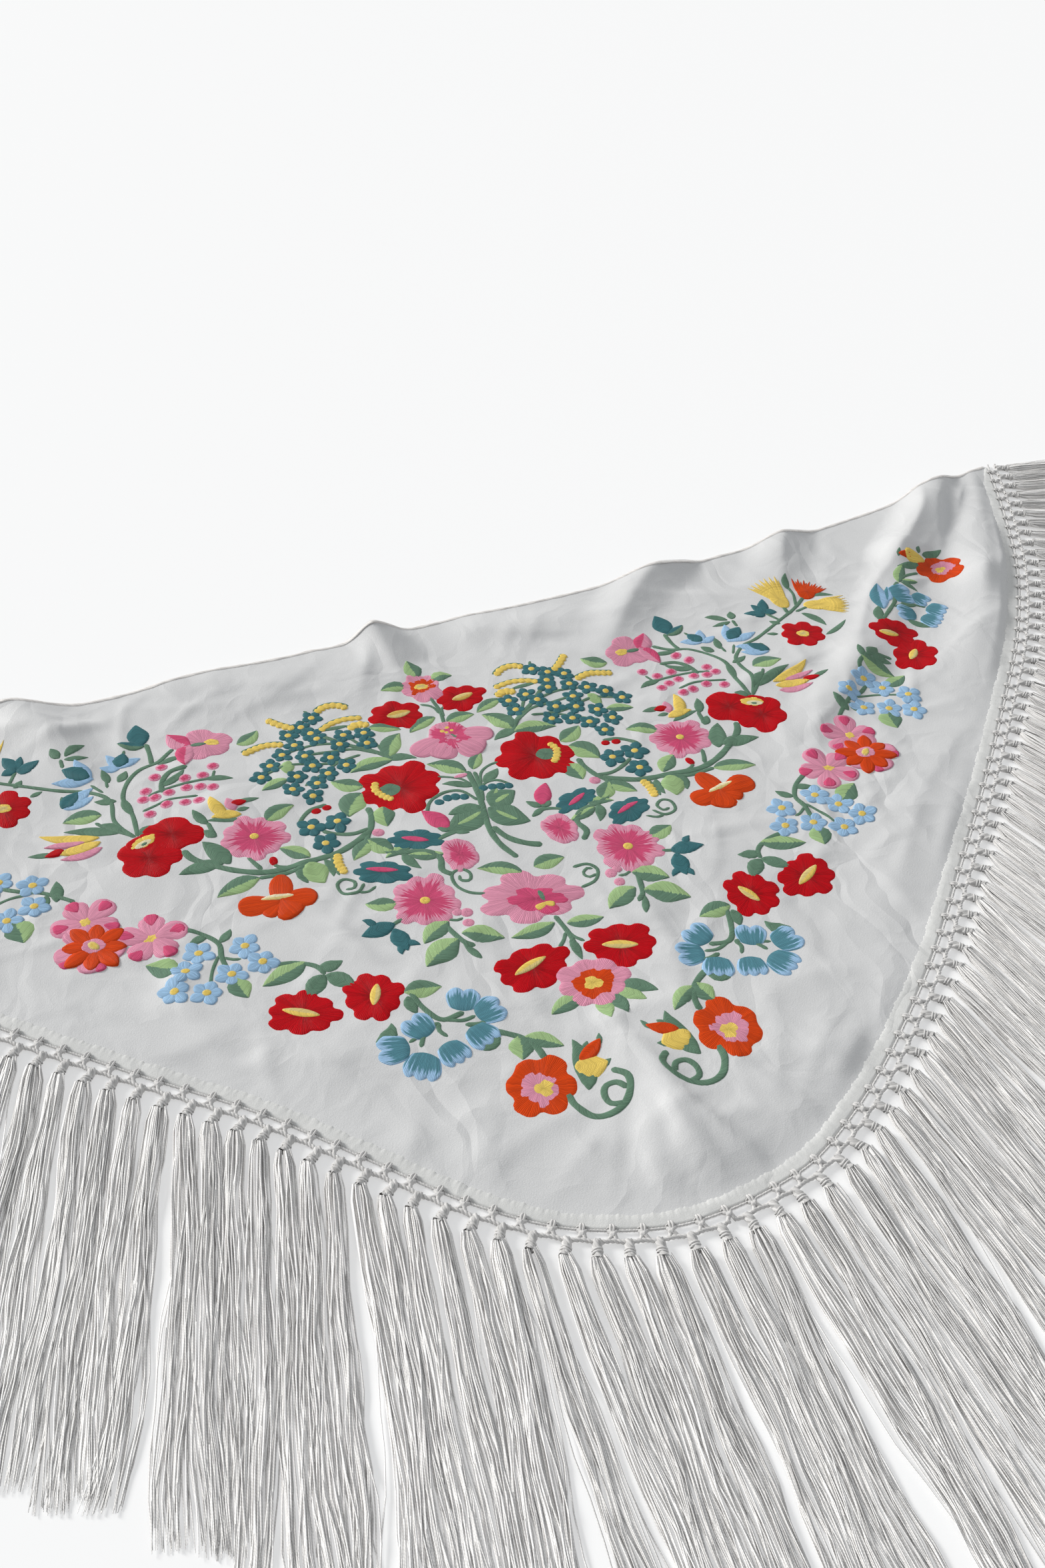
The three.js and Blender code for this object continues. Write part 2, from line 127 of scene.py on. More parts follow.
# The embroidery. Tables ending in _MID are drawn once, and the others on both sides of the axis.
# Leaves, petals and spindles: x1, y1, x2, y2, width, bend, colours, level and shape. The colours are those on
# the left and on the right, seen from the base (x1, y1) towards the tip.
LEAVES_MID = [
    (2, 192, 0, 210, 13, 0, "LG"), (9, 186, 25, 188, 11, 0.22, "LG"), (-8, 185, -26, 187, 11, -0.22, "LG"),
    (4, 142, 24, 144, 12, 0.22, "GL"), (-1, 150, -22, 140, 11, -0.15, "LG"),
    (0, 128, 0, 143, 25, 0, "P", 1, "round"), (2, 128, -27, 117, 17, -0.12, "P", 1, "petal"),
    (-2, 128, 28, 120, 17, 0.12, "P", 1, "petal"), (-1, 128, 16, 107, 22, 0, "P", 1, "petal"),
    (1, 128, -14, 110, 22, 0, "P", 1, "petal"), (-2, 91, -23, 106, 14, -0.2, "LG"),
    (3, 92, 14, 107, 10, 0.1, "GL"), (-3, 76, -21, 84, 7, -0.15, "G"), (4, 78, 18, 88, 8, -0.1, "G"),
    (-12, 88, 0, 89, 4, 0, "P", 1), (0, 54, 20, 64, 18, 0.1, "G"), (3, 56, 17, 62, 5, 0.1, "L", 1),
    (-2, 54, 18, 34, 20, -0.1, "G"), (1, 51, 13, 36, 5, -0.1, "L", 1), (-4, 53, -34, 44, 19, 0.1, "G"),
    (-6, 52, -28, 46, 5, 0.1, "L", 1), (-5, 55, -27, 56, 11, -0.1, "G"), (2, 56, 10, 70, 9, 0.1, "GL"),
    (-3, -5, -27, 8, 11, -0.18, "LG"), (5, -2, 25, -1, 13, 0.1, "GL"), (-1, -47, -29, -50, 11, 0.1, "GL"),
    (5, -50, 27, -53, 11, -0.05, "LG"), (2, -62, 2, -79, 6, 0, "G"), (-8, -103, -30, -110, 12, -0.1, "GL"),
    (0, -106, -2, -125, 10, 0, "L"), (4, -105, 8, -125, 11, 0.1, "G"), (9, -105, 22, -119, 11, 0.05, "L"),
    (13, -103, 31, -115, 11, 0.12, "G"), (-31, 160, -14, 161, 8, 0, "AH", 3, "spindle"),
    (15, 162, 31, 165, 7, 0, "HA", 3, "spindle"), (-38, -78, -16, -70, 6.5, 0.06, "YH", 3, "spindle"),
    (16, -73, 36, -80, 7, 0.05, "YH", 3, "spindle"), (1, 132, 5, 121, 3, 0.1, "G", 3),
    (0, -20, 0, -31, 5, 0, "G", 3), (2, -31, -7, -34, 6, 0, "Y", 3, "petal"),
    (-2, -31, 5, -34, 6, 0, "Y", 3, "petal"),
]
LEAVES_SIDE = [
    (66, 100, 84, 111, 14, -0.1, "GL"), (69, 94, 83, 76, 18, 0.22, "GL"), (61, 78, 64, 60, 15, 0.1, "LG"),
    (42, 121, 28, 142, 15, -0.22, "LG"), (46, 153, 26, 145, 10, -0.15, "LG"),
    (41, 118, 70, 115, 12, 0.2, "LG"), (45, 120, 26, 114, 8, -0.2, "G"),
    (129, 165, 113, 175, 12, 0.2, "LG"), (102, 138, 106, 125, 9, 0.2, "L"),
    (108, 121, 126, 116, 9, 0.1, "LG"), (56, 160, 78, 160, 4, 0.05, "G"),
    (30, 45, 41, 65, 12, 0.05, "K", 1), (30, 44, 22, 52, 6, 0.1, "G", 1), (29, 44, 37, 48, 6, -0.1, "G", 1),
    (21, 37, 32, 43, 5, 0.1, "G"), (60, 33, 40, 26, 9, 0.1, "GL"), (55, 40, 74, 35, 8, 0.1, "LG"),
    (67, 39, 79, 55, 13, -0.1, "GL"), (76, 53, 92, 39, 11, 0.1, "GL"), (63, 36, 57, 19, 7, 0.15, "G"),
    (79, -2, 97, 3, 13, -0.15, "GL"), (57, -26, 76, -38, 14, 0.1, "LG"), (54, -38, 32, -49, 14, -0.1, "GL"),
    (57, -42, 81, -56, 17, 0.1, "LG"), (50, -60, 56, -46, 5, 0, "G"), (86, -18, 107, -21, 11, 0, "T", 1),
    (97, -18, 103, -10, 5, 0.3, "T", 1), (88, -21, 86, -40, 11, 0, "T", 1),
    (87, -34, 78, -38, 5, -0.3, "T", 1), (86, -34, 90, -42, 5, 0.3, "T", 1),
    (45, 39, 60, 48, 4.5, 0, "K", 3, "spindle"), (70, 22, 88, 30, 4.5, 0, "K", 3, "spindle"),
    (160, 60, 171, 83, 13, 0.05, "G"), (163, 62, 190, 61, 11, 0.08, "G"), (115, 50, 130, 64, 12, 0.1, "LG"),
    (147, 43, 174, 36, 13, 0.12, "GL"), (116, 46, 113, 27, 17, 0.1, "L", 1),
    (108, 46, 107, 30, 6, -0.2, "G"), (121, 46, 122, 30, 8, 0.25, "G"), (131, 88, 111, 97, 12, -0.22, "LG"),
    (164, 96, 170, 111, 7, -0.1, "G"), (144, 94, 165, 99, 5, 0.1, "G"), (162, 84, 168, 92, 7, 0, "G"),
    (140, 24, 135, 42, 18, 0, "O", 1, "round"), (142, 23, 120, 18, 16, 0, "O", 1, "petal"),
    (140, 24, 135, 7, 19, 0.1, "O", 1, "petal"), (140, 21, 165, 24, 17, 0, "O", 1, "petal"),
    (142, 20, 152, 12, 10, 0, "O", 1, "petal"), (132, 22, 152, 26, 5, 0.1, "WH", 3, "spindle"),
    (146, 172, 159, 173, 4.5, 0, "G", 3), (156, 172, 168, 189, 14, -0.12, "KP", 2),
    (157, 176, 164, 154, 13, 0.1, "KP", 2), (184, 184, 184, 205, 15, -0.1, "T", 1),
    (183, 183, 199, 190, 9, -0.15, "TG", 1), (203, 166, 188, 172, 8, -0.1, "B", 1),
    (203, 166, 208, 181, 8, 0.1, "B", 1), (202, 166, 214, 170, 7, -0.1, "B", 1),
    (203, 167, 197, 179, 11, 0, "T", 2), (220, 161, 227, 180, 9, -0.1, "B", 1),
    (219, 161, 244, 165, 9, -0.1, "B", 1), (221, 162, 236, 174, 12, 0, "T", 2),
    (241, 140, 221, 153, 10, -0.1, "B", 1), (241, 140, 222, 146, 8, 0.1, "B", 1),
    (242, 141, 230, 153, 11, 0, "T", 2), (232, 184, 218, 193, 7, -0.15, "G"),
    (235, 184, 239, 194, 7, -0.1, "G"), (233, 182, 218, 181, 5, 0.1, "G"),
    (206, 154, 199, 162, 7, 0.1, "G"), (211, 155, 213, 168, 6, 0, "G"), (210, 136, 223, 141, 6, -0.1, "G"),
    (206, 138, 203, 118, 6, 0.1, "G"), (221, 127, 244, 128, 14, 0.15, "GL"),
    (215, 107, 245, 120, 8, 0.08, "G"), (212, 108, 224, 119, 8, 0.1, "G"), (204, 101, 196, 107, 7, 0, "G"),
    (252, 102, 268, 106, 5, 0, "G"), (226, 99, 251, 97, 8, -0.15, "P", 1),
    (226, 104, 252, 102, 9, -0.1, "Y", 2), (226, 108, 259, 121, 9, -0.15, "Y", 2),
    (234, 107, 258, 110, 6, -0.05, "P", 3), (247, 104, 259, 102, 6, 0, "R", 3),
    (143, 110, 129, 110, 5, 0, "G"), (145, 103, 137, 103, 4, 0, "G"), (143, 99, 161, 101, 8, 0.1, "Y", 2),
    (151, 99, 157, 120, 9, -0.2, "Y", 2), (146, 103, 148, 115, 8, 0, "P", 1),
    (147, 109, 137, 109, 6, 0, "R", 2), (156, 138, 139, 133, 6, -0.1, "G"),
    (184, 141, 165, 152, 6, 0.2, "G"), (164, 165, 180, 162, 5, 0, "G"),
    (262, 184, 247, 188, 8, 0.1, "T", 1), (262, 184, 268, 199, 9, 0.05, "T", 1),
    (262, 184, 257, 196, 7, 0, "T", 1), (262, 184, 253, 181, 7, 0, "T", 1),
    (261, 186, 271, 182, 8, 0, "T", 1), (292, 203, 298, 219, 6, 0.15, "G"),
    (304, 192, 321, 187, 5, 0.2, "G"), (287, 175, 296, 155, 7, 0.2, "G"), (266, 168, 260, 174, 5, 0.1, "G"),
    (289.5, 145, 311.5, 155, 5, -0.12, "G"), (258, 157, 250, 160, 4, 0, "G"),
    (32, -163, 27, -130, 13, 0.16, "G"), (33, -147, 15, -150, 17, 0.1, "Y", 1),
    (29, -144, 13, -135, 9, 0.1, "O", 2), (22, -152, 13, -149, 5, 0, "G"),
    (15, -139, 12, -131, 3.5, 0, "G"), (24, -139, 20, -134, 4, 0, "G"),
    (50, -119, 32, -132, 11, -0.08, "GL"), (52, -117, 56, -133, 14, -0.1, "LG"),
    (62, -112, 73, -120, 8, -0.25, "G"), (124, -97, 112, -87, 9, 0.45, "G"),
    (99, -70, 78, -72, 13, -0.08, "LG"), (98, -73, 97, -86, 8, 0.1, "G"),
    (134, -42, 121, -56, 11, -0.08, "G"), (134, -42, 148, -55, 11, 0.08, "G"),
    (137, -36, 122, -35, 9, 0.15, "G"), (141, -29, 168, -38, 14, 0, "LG"),
    (180, -27, 177, -44, 14, 0.1, "GL"), (182, 1, 173, 10, 6, 0.15, "G"), (186, 9, 198, 5, 6, 0, "G"),
    (207, -14, 223, -2, 15, 0.05, "LG"), (259, 63.5, 256, 80.5, 8, 0.05, "G"),
    (263, 71, 268, 60, 6, -0.1, "G"), (284, 56, 281, 38, 17, -0.1, "GL"),
    (298, 81, 317, 86, 12, -0.1, "LG"), (294, 107.5, 310, 86.5, 14, 0.05, "GL"),
    (303, 110.5, 316, 100.5, 9, -0.1, "G"), (295, 105, 298, 119, 6, 0, "G"),
    (299.5, 107.5, 312.5, 115.5, 9, 0, "G"), (332.5, 142.5, 341.5, 159.5, 8, 0.1, "G"),
    (360, 160.5, 371, 154.5, 9, 0, "G"), (355, 142, 369, 129, 7, -0.1, "G"),
    (371, 179.5, 387, 198.5, 10, 0.1, "LG"), (374, 182, 388, 179, 6, -0.1, "LG"),
    (372.5, 180, 381.5, 169, 5, 0.2, "G"), (408, 205.5, 430, 211.5, 8, -0.08, "G"),
    (400.5, 196.5, 380.5, 197.5, 7, 0.1, "G"), (408.5, 201, 391.5, 205, 13, 0, "Y", 1, "petal"),
    (401, 202.5, 386, 206.5, 7, 0, "O", 2), (405, 206.5, 410, 213.5, 4, 0.1, "G"),
    (385.5, 204.5, 389.5, 210.5, 3.5, 0, "G"), (342.5, 154.5, 354.5, 183.5, 14, 0.05, "SB", 1),
    (350.5, 162, 359.5, 178, 8, -0.1, "SB", 1), (110, -58, 117, -73, 6.5, 0, "YH", 3, "spindle"),
    (145, -69, 163, -58, 6.5, 0, "HY", 3, "spindle"),
    (324.5, 132.5, 338.5, 126.5, 7, 0, "HY", 3, "spindle"),
    (331, 100, 342, 110, 6.5, 0, "YH", 3, "spindle"),
]
# Round flowers: x, y, rx, ry, turn, lobes, notch, inner and outer colour, level, where the colours meet.
FLOWERS_MID = [
    (1, 181, 17, 13, 100, 5, 0.14, "P", 1), (1, 183, 10.5, 8.5, 20, 9, 0.05, "O", 2),
    (1, 182.5, 5.5, 4, 0, 6, 0.1, "HY", 3), (-24, 160, 18.5, 15, -20, 7, 0.13, "DR", 1, 0.4),
    (22, 163, 18, 13, 10, 7, 0.14, "DR", 1, 0.4), (1, 127, 15.5, 16, 90, 3, 0.08, "KP", 2, 0.86),
    (-2, 134, 2.8, 2.6, 0, 0, 0, "Y", 3), (2, 136.5, 2.6, 2.2, 0, 0, 0, "Y", 3),
    (4, 133, 2.4, 2.4, 0, 0, 0, "Y", 3), (0, 132, 2.4, 2.2, 0, 0, 0, "Y", 3),
    (2, 72.5, 3.2, 3.2, 0, 0, 0, "T", 1), (8, 71.5, 3.2, 3.4, 0, 0, 0, "T", 1),
    (13, 70.5, 3.2, 3.4, 0, 0, 0, "T", 1), (18, 69.5, 3, 3, 0, 0, 0, "T", 1),
    (-28, 68.5, 3.2, 3.2, 0, 0, 0, "T", 1), (-22, 70.5, 3.2, 3.4, 0, 0, 0, "T", 1),
    (-17, 70, 3.2, 3.4, 0, 0, 0, "T", 1), (-12, 68, 3, 3, 0, 0, 0, "T", 1),
    (-6, -24, 32, 20.5, -12, 7, 0.17, "P", 1), (-4, -27, 18, 12.5, -15, 6, 0.12, "K", 2),
    (-26, -75, 23, 16, 14, 8, 0.11, "DR", 1, 0.35), (27, -76, 21, 16.5, -14, 8, 0.11, "DR", 1, 0.35),
    (1, -96, 18.5, 21, 90, 8, 0.1, "P", 2), (1, -97, 12.5, 13.5, 90, 5, 0.12, "O", 3),
    (0, -97, 6.4, 6.8, 90, 3, 0.14, "Y", 4),
]
FLOWERS_SIDE = [
    (45, 91, 26.5, 24.5, -5, 8, 0.13, "DR", 1, 0.3), (52, 91, 7.5, 7.5, 0, 0, 0, "G", 2),
    (52, 43, 17, 9, 20, 7, 0.13, "T", 1), (79, 24, 17.5, 10, 22, 7, 0.13, "T", 1),
    (71, 57, 4, 3.6, 20, 0, 0, "P", 1), (32, 22, 10.5, 14, 0, 7, 0.1, "KP", 1, 0.62),
    (64, -6, 20.5, 21.5, 10, 9, 0.11, "KP", 1, 0.68), (64, -6, 3.6, 3.4, 0, 0, 0, "Y", 3),
    (45, -23, 3.8, 3.6, 0, 0, 0, "P", 1), (47, -31, 3.6, 3.4, 0, 0, 0, "P", 1),
    (50, -21, 3.2, 3, 0, 0, 0, "P", 1), (93, 89, 3, 2.6, 0, 0, 0, "R", 1),
    (100, 88, 3.2, 2.8, 0, 0, 0, "R", 1), (136, 54, 2.6, 4, 10, 0, 0, "R", 1),
    (141, 77, 21, 19, 0, 9, 0.1, "KP", 1, 0.66), (141, 78, 3.2, 3, 0, 0, 0, "Y", 3),
    (148, 172, 19, 14.5, 20, 5, 0.12, "P", 1), (143, 172, 5, 3.8, 20, 5, 0.15, "Y", 3),
    (186, 95, 18, 15.5, 20, 4, 0.13, "DR", 1, 0.3), (203, 80, 18.5, 17, 40, 5, 0.16, "DR", 1, 0.3),
    (205, 93, 9, 8, 0, 3, 0.1, "DR", 2, 0.4), (203, 94, 8.5, 4.6, -22, 9, 0.1, "Y", 3),
    (203.5, 92.5, 6, 2.6, -22, 0, 0, "W", 4), (203, 92, 2.4, 1.3, -22, 0, 0, "G", 5),
    (274.5, 151, 17.5, 16, 10, 7, 0.15, "DR", 1, 0.35), (274.5, 151, 5, 4.2, 0, 5, 0.15, "HY", 3),
    (54, -152, 19.5, 20.5, 20, 6, 0.13, "O", 1), (55, -153, 11.5, 12.5, 0, 9, 0.05, "P", 2),
    (53, -154, 6.4, 6.4, 20, 3, 0.16, "Y", 3), (115, -66, 16.5, 18, 0, 8, 0.12, "DR", 1, 0.35),
    (153, -64, 20, 16, 25, 8, 0.12, "DR", 1, 0.35), (336, 130.5, 17.5, 15, -12, 7, 0.13, "DR", 1, 0.35),
    (337, 104, 19.5, 16, 45, 7, 0.13, "DR", 1, 0.35), (415, 190, 20, 16, 20, 5, 0.16, "O", 1),
    (417, 191, 12, 9, 14, 0, 0, "P", 2), (415, 190, 6, 4, 10, 3, 0.2, "Y", 3),
]
# Small round centres that lie over the fans, in the same form.
CENTRES_SIDE = [
    (216, 17, 4.6, 3, -20, 5, 0.1, "Y", 3), (247, 42, 4, 4.4, 0, 5, 0.1, "Y", 3),
    (246, 22, 6.6, 5.6, 0, 7, 0.1, "P", 7), (246, 22, 3, 4.8, -40, 5, 0.1, "YH", 8.5),
    (279.5, 195, 6.4, 11, 4, 0, 0, "Y", 2), (304, 180, 11, 6.4, -20, 0, 0, "Y", 2),
    (304, 197, 9, 7, 50, 0, 0, "O", 2),
]
# Five-petalled sprig flowers: colour, petal size, centre size, places.
SPRIGS_SIDE = [
    ("T", 7.6, 2.6, [
        (77, 175), (86, 168), (82, 160), (96, 163), (80, 153), (95, 152), (63, 151), (50, 149), (68, 143),
        (51, 139), (92, 139), (77, 133), (105, 145), (115, 137), (123, 128), (90, 129), (70, 123),
        (83, 119), (102, 122), (92, 112), (108, 111), (98, 101),
    ]),
    ("T", 9.6, 2.8, [
        (91, 74), (107, 75), (103, 59),
    ]),
    ("B", 10, 3, [
        (169, -6), (194, -3), (204, -15), (163, -21), (181, -24), (213, -28), (197, -34), (269, 81),
        (286.5, 90), (295, 79), (271, 64), (287, 58), (307, 66), (302, 51),
    ]),
]
BERRY_SIZE = 4
BERRIES_SIDE = [
    (148, 149), (156, 142), (167, 143), (184, 150), (192, 139), (153, 129), (160, 132), (168, 134),
    (179, 133), (188, 131), (195, 132), (164, 119), (172, 120), (183, 122), (194, 117), (178, 158),
]
# Fans: x, y, direction, spread, petals, length, width, inner and outer colour, level, shape, meeting.
FANS_SIDE = [
    (215, 17, 100, 288, 5, 20, 15.5, "P", 1, "petal", 0.6),
    (246, 42, 70, 288, 5, 20, 15.5, "P", 1, "petal", 0.6),
    (248, 22, -80, 288, 5, 21, 15, "P", 1.4, "petal", 0.6),
    (246, 21, 40, 315, 8, 20, 10.5, "O", 4.5, "star", 0.5),
    (281, 186, 97, 46, 14, 33, 3.6, "Y", 1, "leaf", 0.5),
    (295, 183, -20, 44, 14, 32, 3.6, "Y", 1, "leaf", 0.5),
    (298, 190, 50, 68, 13, 24, 3.6, "O", 1, "leaf", 0.5),
]
# Patches near the tips of a fan's petals: x, y, direction, spread, petals, from, to, width, colour, level.
TIPS_SIDE = [
    (215, 17, 100, 288, 5, 9.5, 19, 9, "K", 3), (246, 42, 70, 288, 5, 9.5, 19, 9, "K", 3),
    (248, 22, -62, 70, 2, 13, 20, 7, "K", 3),
]
# Shells: the middle of the base x1, y1, the middle of the rim x2, y2, and the lobes of the rim.
SHELLS_SIDE = [
    (74, -92, 68, -78, 2), (68, -98, 53, -95, 2), (73, -103, 67, -117, 3), (96, -102, 102, -88, 2),
    (108, -106, 124, -103, 2), (90, -109, 86, -123, 3), (101, -112, 110, -126, 3), (356, 168, 374, 167, 2),
    (375, 167, 382, 156, 2), (378, 152, 387, 141, 3), (365.5, 145.5, 352.5, 150.5, 2),
    (368, 143, 376, 131, 3),
]
# Stems: width, points.
STEMS_MID = [
    (2.6, [(2, 173), (4, 156), (2, 141)]), (2, [(-6, 166), (1, 160), (3, 152)]),
    (2, [(13, 155), (7, 158), (4, 148)]), (4, [(-1, 92), (-2, 74), (-5, 54), (-8, 38), (-7, 22), (-1, 8)]),
    (4.4, [(-6, 37), (0, 25), (9, 17), (17, 13)]), (3, [(3, 90), (1, 74), (-3, 60)]),
    (2, [(2, 76), (7, 88), (15, 93), (26, 94)]), (2, [(-3, 78), (-8, 86), (-18, 91), (-28, 93)]),
    (2.4, [(-39, 61), (-33, 71), (-22, 76), (-12, 74), (-5, 62)]),
    (2.2, [(-1, 68), (4, 76), (12, 77), (21, 69)]), (3.2, [(1, -42), (3, -58), (2, -72)]),
    (2.4, [(2, -56), (-2, -62), (-7, -67)]), (2.4, [(3, -56), (5, -62), (9, -67)]),
    (2.4, [(-25, 41), (-31, 40), (-40, 38)]),
    (2.2, [(-28, -13), (-38, -8), (-43, 0), (-42, 9), (-36, 11), (-32, 6), (-34, 1), (-39, 3), (-38, 7)]),
    (2.2, [(24, -27), (34, -25), (39, -17), (35, -11), (26, -10)]),
    (2, [(38, -20), (32, -21), (30, -17), (34, -14), (37, -16)]),
]
STEMS_SIDE = [
    (3.4, [(40, 118), (50, 131), (64, 142), (78, 156), (88, 168)]),
    (2.4, [(47, 127), (60, 136), (74, 138), (92, 140)]), (2.4, [(52, 133), (60, 147), (64, 155)]),
    (2.2, [(66, 143), (84, 148), (104, 146)]), (2.2, [(58, 130), (78, 128), (104, 134), (120, 130)]),
    (2.2, [(70, 130), (86, 120), (100, 112)]), (2, [(88, 168), (78, 180), (80, 184)]),
    (2, [(44, 124), (46, 138), (50, 150)]),
    (4, [(41, 8), (46, 14), (44, 24), (52, 33), (66, 37), (76, 45), (79, 54), (74, 62), (70, 74), (70, 81)]),
    (3, [(74, 62), (84, 61), (95, 65), (102, 70)]), (3, [(92, 92), (103, 90), (111, 83), (113, 77)]),
    (2.6, [(20, 37), (28, 41), (36, 40), (44, 34)]),
    (4.6, [(76, 59), (86, 54), (98, 49), (116, 47), (140, 46), (156, 52), (170, 62), (180, 72), (183, 80)]),
    (2.6, [(98, 49), (104, 42), (104, 32)]), (3, [(144, 49), (147, 56), (149, 63)]),
    (2.4, [(128, 46), (135, 49), (137, 52)]), (3.4, [(162, 60), (158, 70)]),
    (3, [(110, 47), (128, 42), (148, 43)]), (3.4, [(60, -26), (58, -36), (55, -45), (50, -50)]),
    (2.6, [(76, -14), (84, -17), (90, -19)]), (2, [(58, -24), (52, -27), (48, -26)]),
    (2.2, [(92, 19), (98, 13), (106, 15), (107, 23), (102, 26), (97, 22), (99, 17), (104, 18)]),
    (2, [(86, 15), (92, 12), (98, 13)]),
    (3, [(205, 100), (204, 120), (206, 138), (200, 152), (190, 161), (178, 165), (167, 174)]),
    (2.8, [(207, 100), (215, 118), (214, 138), (224, 150), (242, 158), (262, 169), (280, 179)]),
    (2.4, [(206, 100), (222, 116), (226, 122)]), (3.2, [(183, 163), (182, 174), (182, 185)]),
    (2, [(196, 182), (200, 172)]), (2, [(213, 150), (212, 162), (212, 168)]), (2, [(216, 146), (222, 156)]),
    (2.6, [(235, 183), (235, 175)]), (2.4, [(240, 152), (242, 141)]), (3, [(163, 86), (164, 98)]),
    (3.6, [(163, 153), (174, 152), (181, 144), (183, 134)]),
    (2.2, [(142, 135), (156, 138), (176, 138), (192, 134)]),
    (2, [(163, 124), (178, 126), (192, 123), (198, 121)]), (2, [(148, 145), (151, 138)]),
    (3.2, [(278, 178), (279, 190)]), (3, [(277, 177), (288, 184), (302, 195)]),
    (2.4, [(288, 184), (293, 198), (293, 206.5)]), (2.4, [(268, 172), (262, 184)]),
    (2.6, [(284, 178), (296, 181)]),
    (4, [(43, -160), (42, -170), (36, -179), (28, -181), (19, -178), (12, -170), (10, -162), (16, -155)]),
    (3.6, [(13, -170), (17, -164), (23, -164), (26, -169), (25, -175), (18, -178)]),
    (4, [(45, -137), (46, -128), (51, -119), (60, -112), (72, -106)]), (2, [(27, -150), (26, -142)]),
    (3.4, [(96, -68), (93, -82), (86, -94), (73, -93)]), (2.4, [(86, -94), (76, -98), (68, -97)]),
    (2.6, [(88, -95), (90, -100), (87, -106)]), (2.6, [(88, -95), (97, -99), (103, -108)]),
    (2.2, [(97, -99), (108, -103)]), (3, [(76, -101), (68, -103), (62, -102)]),
    (3.2, [(134, -42), (137, -34), (146, -28), (158, -25)]),
    (3.2, [(182, -24), (183, -10), (182, 0), (188, 10), (199, 18)]),
    (2, [(183, -10), (177, -14), (173, -15)]), (2, [(184, -8), (190, -18), (194, -29)]),
    (3, [(249, 60), (255.5, 66), (266, 74), (278, 79), (286, 85)]), (2, [(271, 75), (286, 74), (302, 68)]),
    (3.2, [(287.5, 96.5), (290, 102.5), (296, 106.5), (307.5, 109.5), (319, 105)]),
    (3.2, [(334, 143), (348, 154), (356, 161), (361, 172), (370.5, 180.5)]),
    (2.2, [(352, 155), (366, 157.5), (378, 152)]), (2.6, [(370.5, 180.5), (381.5, 186.5), (394.5, 189)]),
]
# Bead catkins with a thin stem above: bead width, beads, points, and how far beside them the stem runs.
CATKINS = [
    (6, 6, [(52, 177), (58, 182), (66, 183), (73, 179)], 2.6),
    (6, 5, [(90, 168), (97, 174), (105, 183)], 2.2),
    (5, 7, [(46, 165), (58, 167), (68, 165), (76, 160)], 2),
    (6, 7, [(101, 155), (112, 158), (128, 154)], 2.6), (7.5, 4, [(44, 156), (51, 159), (58, 156)], 2.4),
    (6.5, 6, [(99, 48), (101, 40), (100, 30)], 3.4),
    (6, 7, [(58, 101), (60.5, 94), (58, 87), (53, 81)], None),
]


def linear(colour):
    """A letter of the palette, or an sRGB triple, as linear light."""
    c = np.array(PALETTE[colour] if isinstance(colour, str) else colour, float) / 255
    return np.where(c <= 0.04045, c / 12.92, ((c + 0.055) / 1.055) ** 2.4)


def left_of(run):
    """Directions turned a quarter to the left."""
    return np.stack([-run[..., 1], run[..., 0]], -1)


def together(*values):
    """Values broadcast to one shape, as the last axis of one array."""
    return np.stack(np.broadcast_arrays(*values), -1)


def change(v, middle, width):
    """Goes from 0 to 1 over a width around a middle."""
    return np.clip((v - middle) / width + 0.5, 0, 1)


def smooth(v, low, high):
    t = np.clip((v - low) / (high - low), 0, 1)
    return t * t * (3 - 2 * t)


def spline(points, per=48):
    """A centripetal Catmull-Rom curve through the points, as many steps for each stretch as per says."""
    p = np.array(points, float)
    p = np.vstack([2 * p[0] - p[1], p, 2 * p[-1] - p[-2]])
    t = np.linspace(0, 1, per, endpoint=False)[:, None]
    out = []
    for a, b, c, d in zip(p, p[1:], p[2:], p[3:]):
        k0, k1, k2 = (max(1e-4, float(np.sum((q - r) ** 2)) ** 0.25) for q, r in ((a, b), (b, c), (c, d)))
        m1 = ((b - a) / k0 - (c - a) / (k0 + k1) + (c - b) / k1) * k1
        m2 = ((c - b) / k1 - (d - b) / (k1 + k2) + (d - c) / k2) * k1
        out.append(b + m1 * t + (-3 * b + 3 * c - 2 * m1 - m2) * t**2 + (2 * b - 2 * c + m1 + m2) * t**3)
    return np.vstack([*out, p[-2:-1]])


class Line:
    """A curve that is read by its share of its length."""

    TANGENT_STEP = 0.6

    def __init__(self, points, per=48):
        self.p = spline(points, per)
        steps = np.linalg.norm(np.diff(self.p, axis=0), axis=1)
        self.s = np.concatenate([[0], np.cumsum(steps)])
        self.length = self.s[-1]

    def at(self, share):
        d = np.clip(np.asarray(share, float), 0, 1) * self.length
        return np.stack([np.interp(d, self.s, self.p[:, k]) for k in range(2)], -1)

    def tangent(self, share):
        e = self.TANGENT_STEP / self.length
        d = self.at(np.asarray(share) + e) - self.at(np.asarray(share) - e)
        return d / np.linalg.norm(d, axis=-1, keepdims=True)


legs = Line([(-o, l) for o, _, l in LEGS[:0:-1]] + [(o, r) for o, r, _ in LEGS])
long_edge = Line(LONG_EDGE)
PITCH = legs.length / TASSELS


def leg_sides(share):
    """Places on the legs, the way along them, and the way out from the cloth."""
    run = legs.tangent(share)
    return legs.at(share), run, -left_of(run)


# The cloth's height.
def above_leg(x, y):
    t = np.array(LEGS, float)
    out = np.abs(x)
    return y - np.where(np.asarray(x) < 0, np.interp(out, t[:, 0], t[:, 2]), np.interp(out, t[:, 0], t[:, 1]))


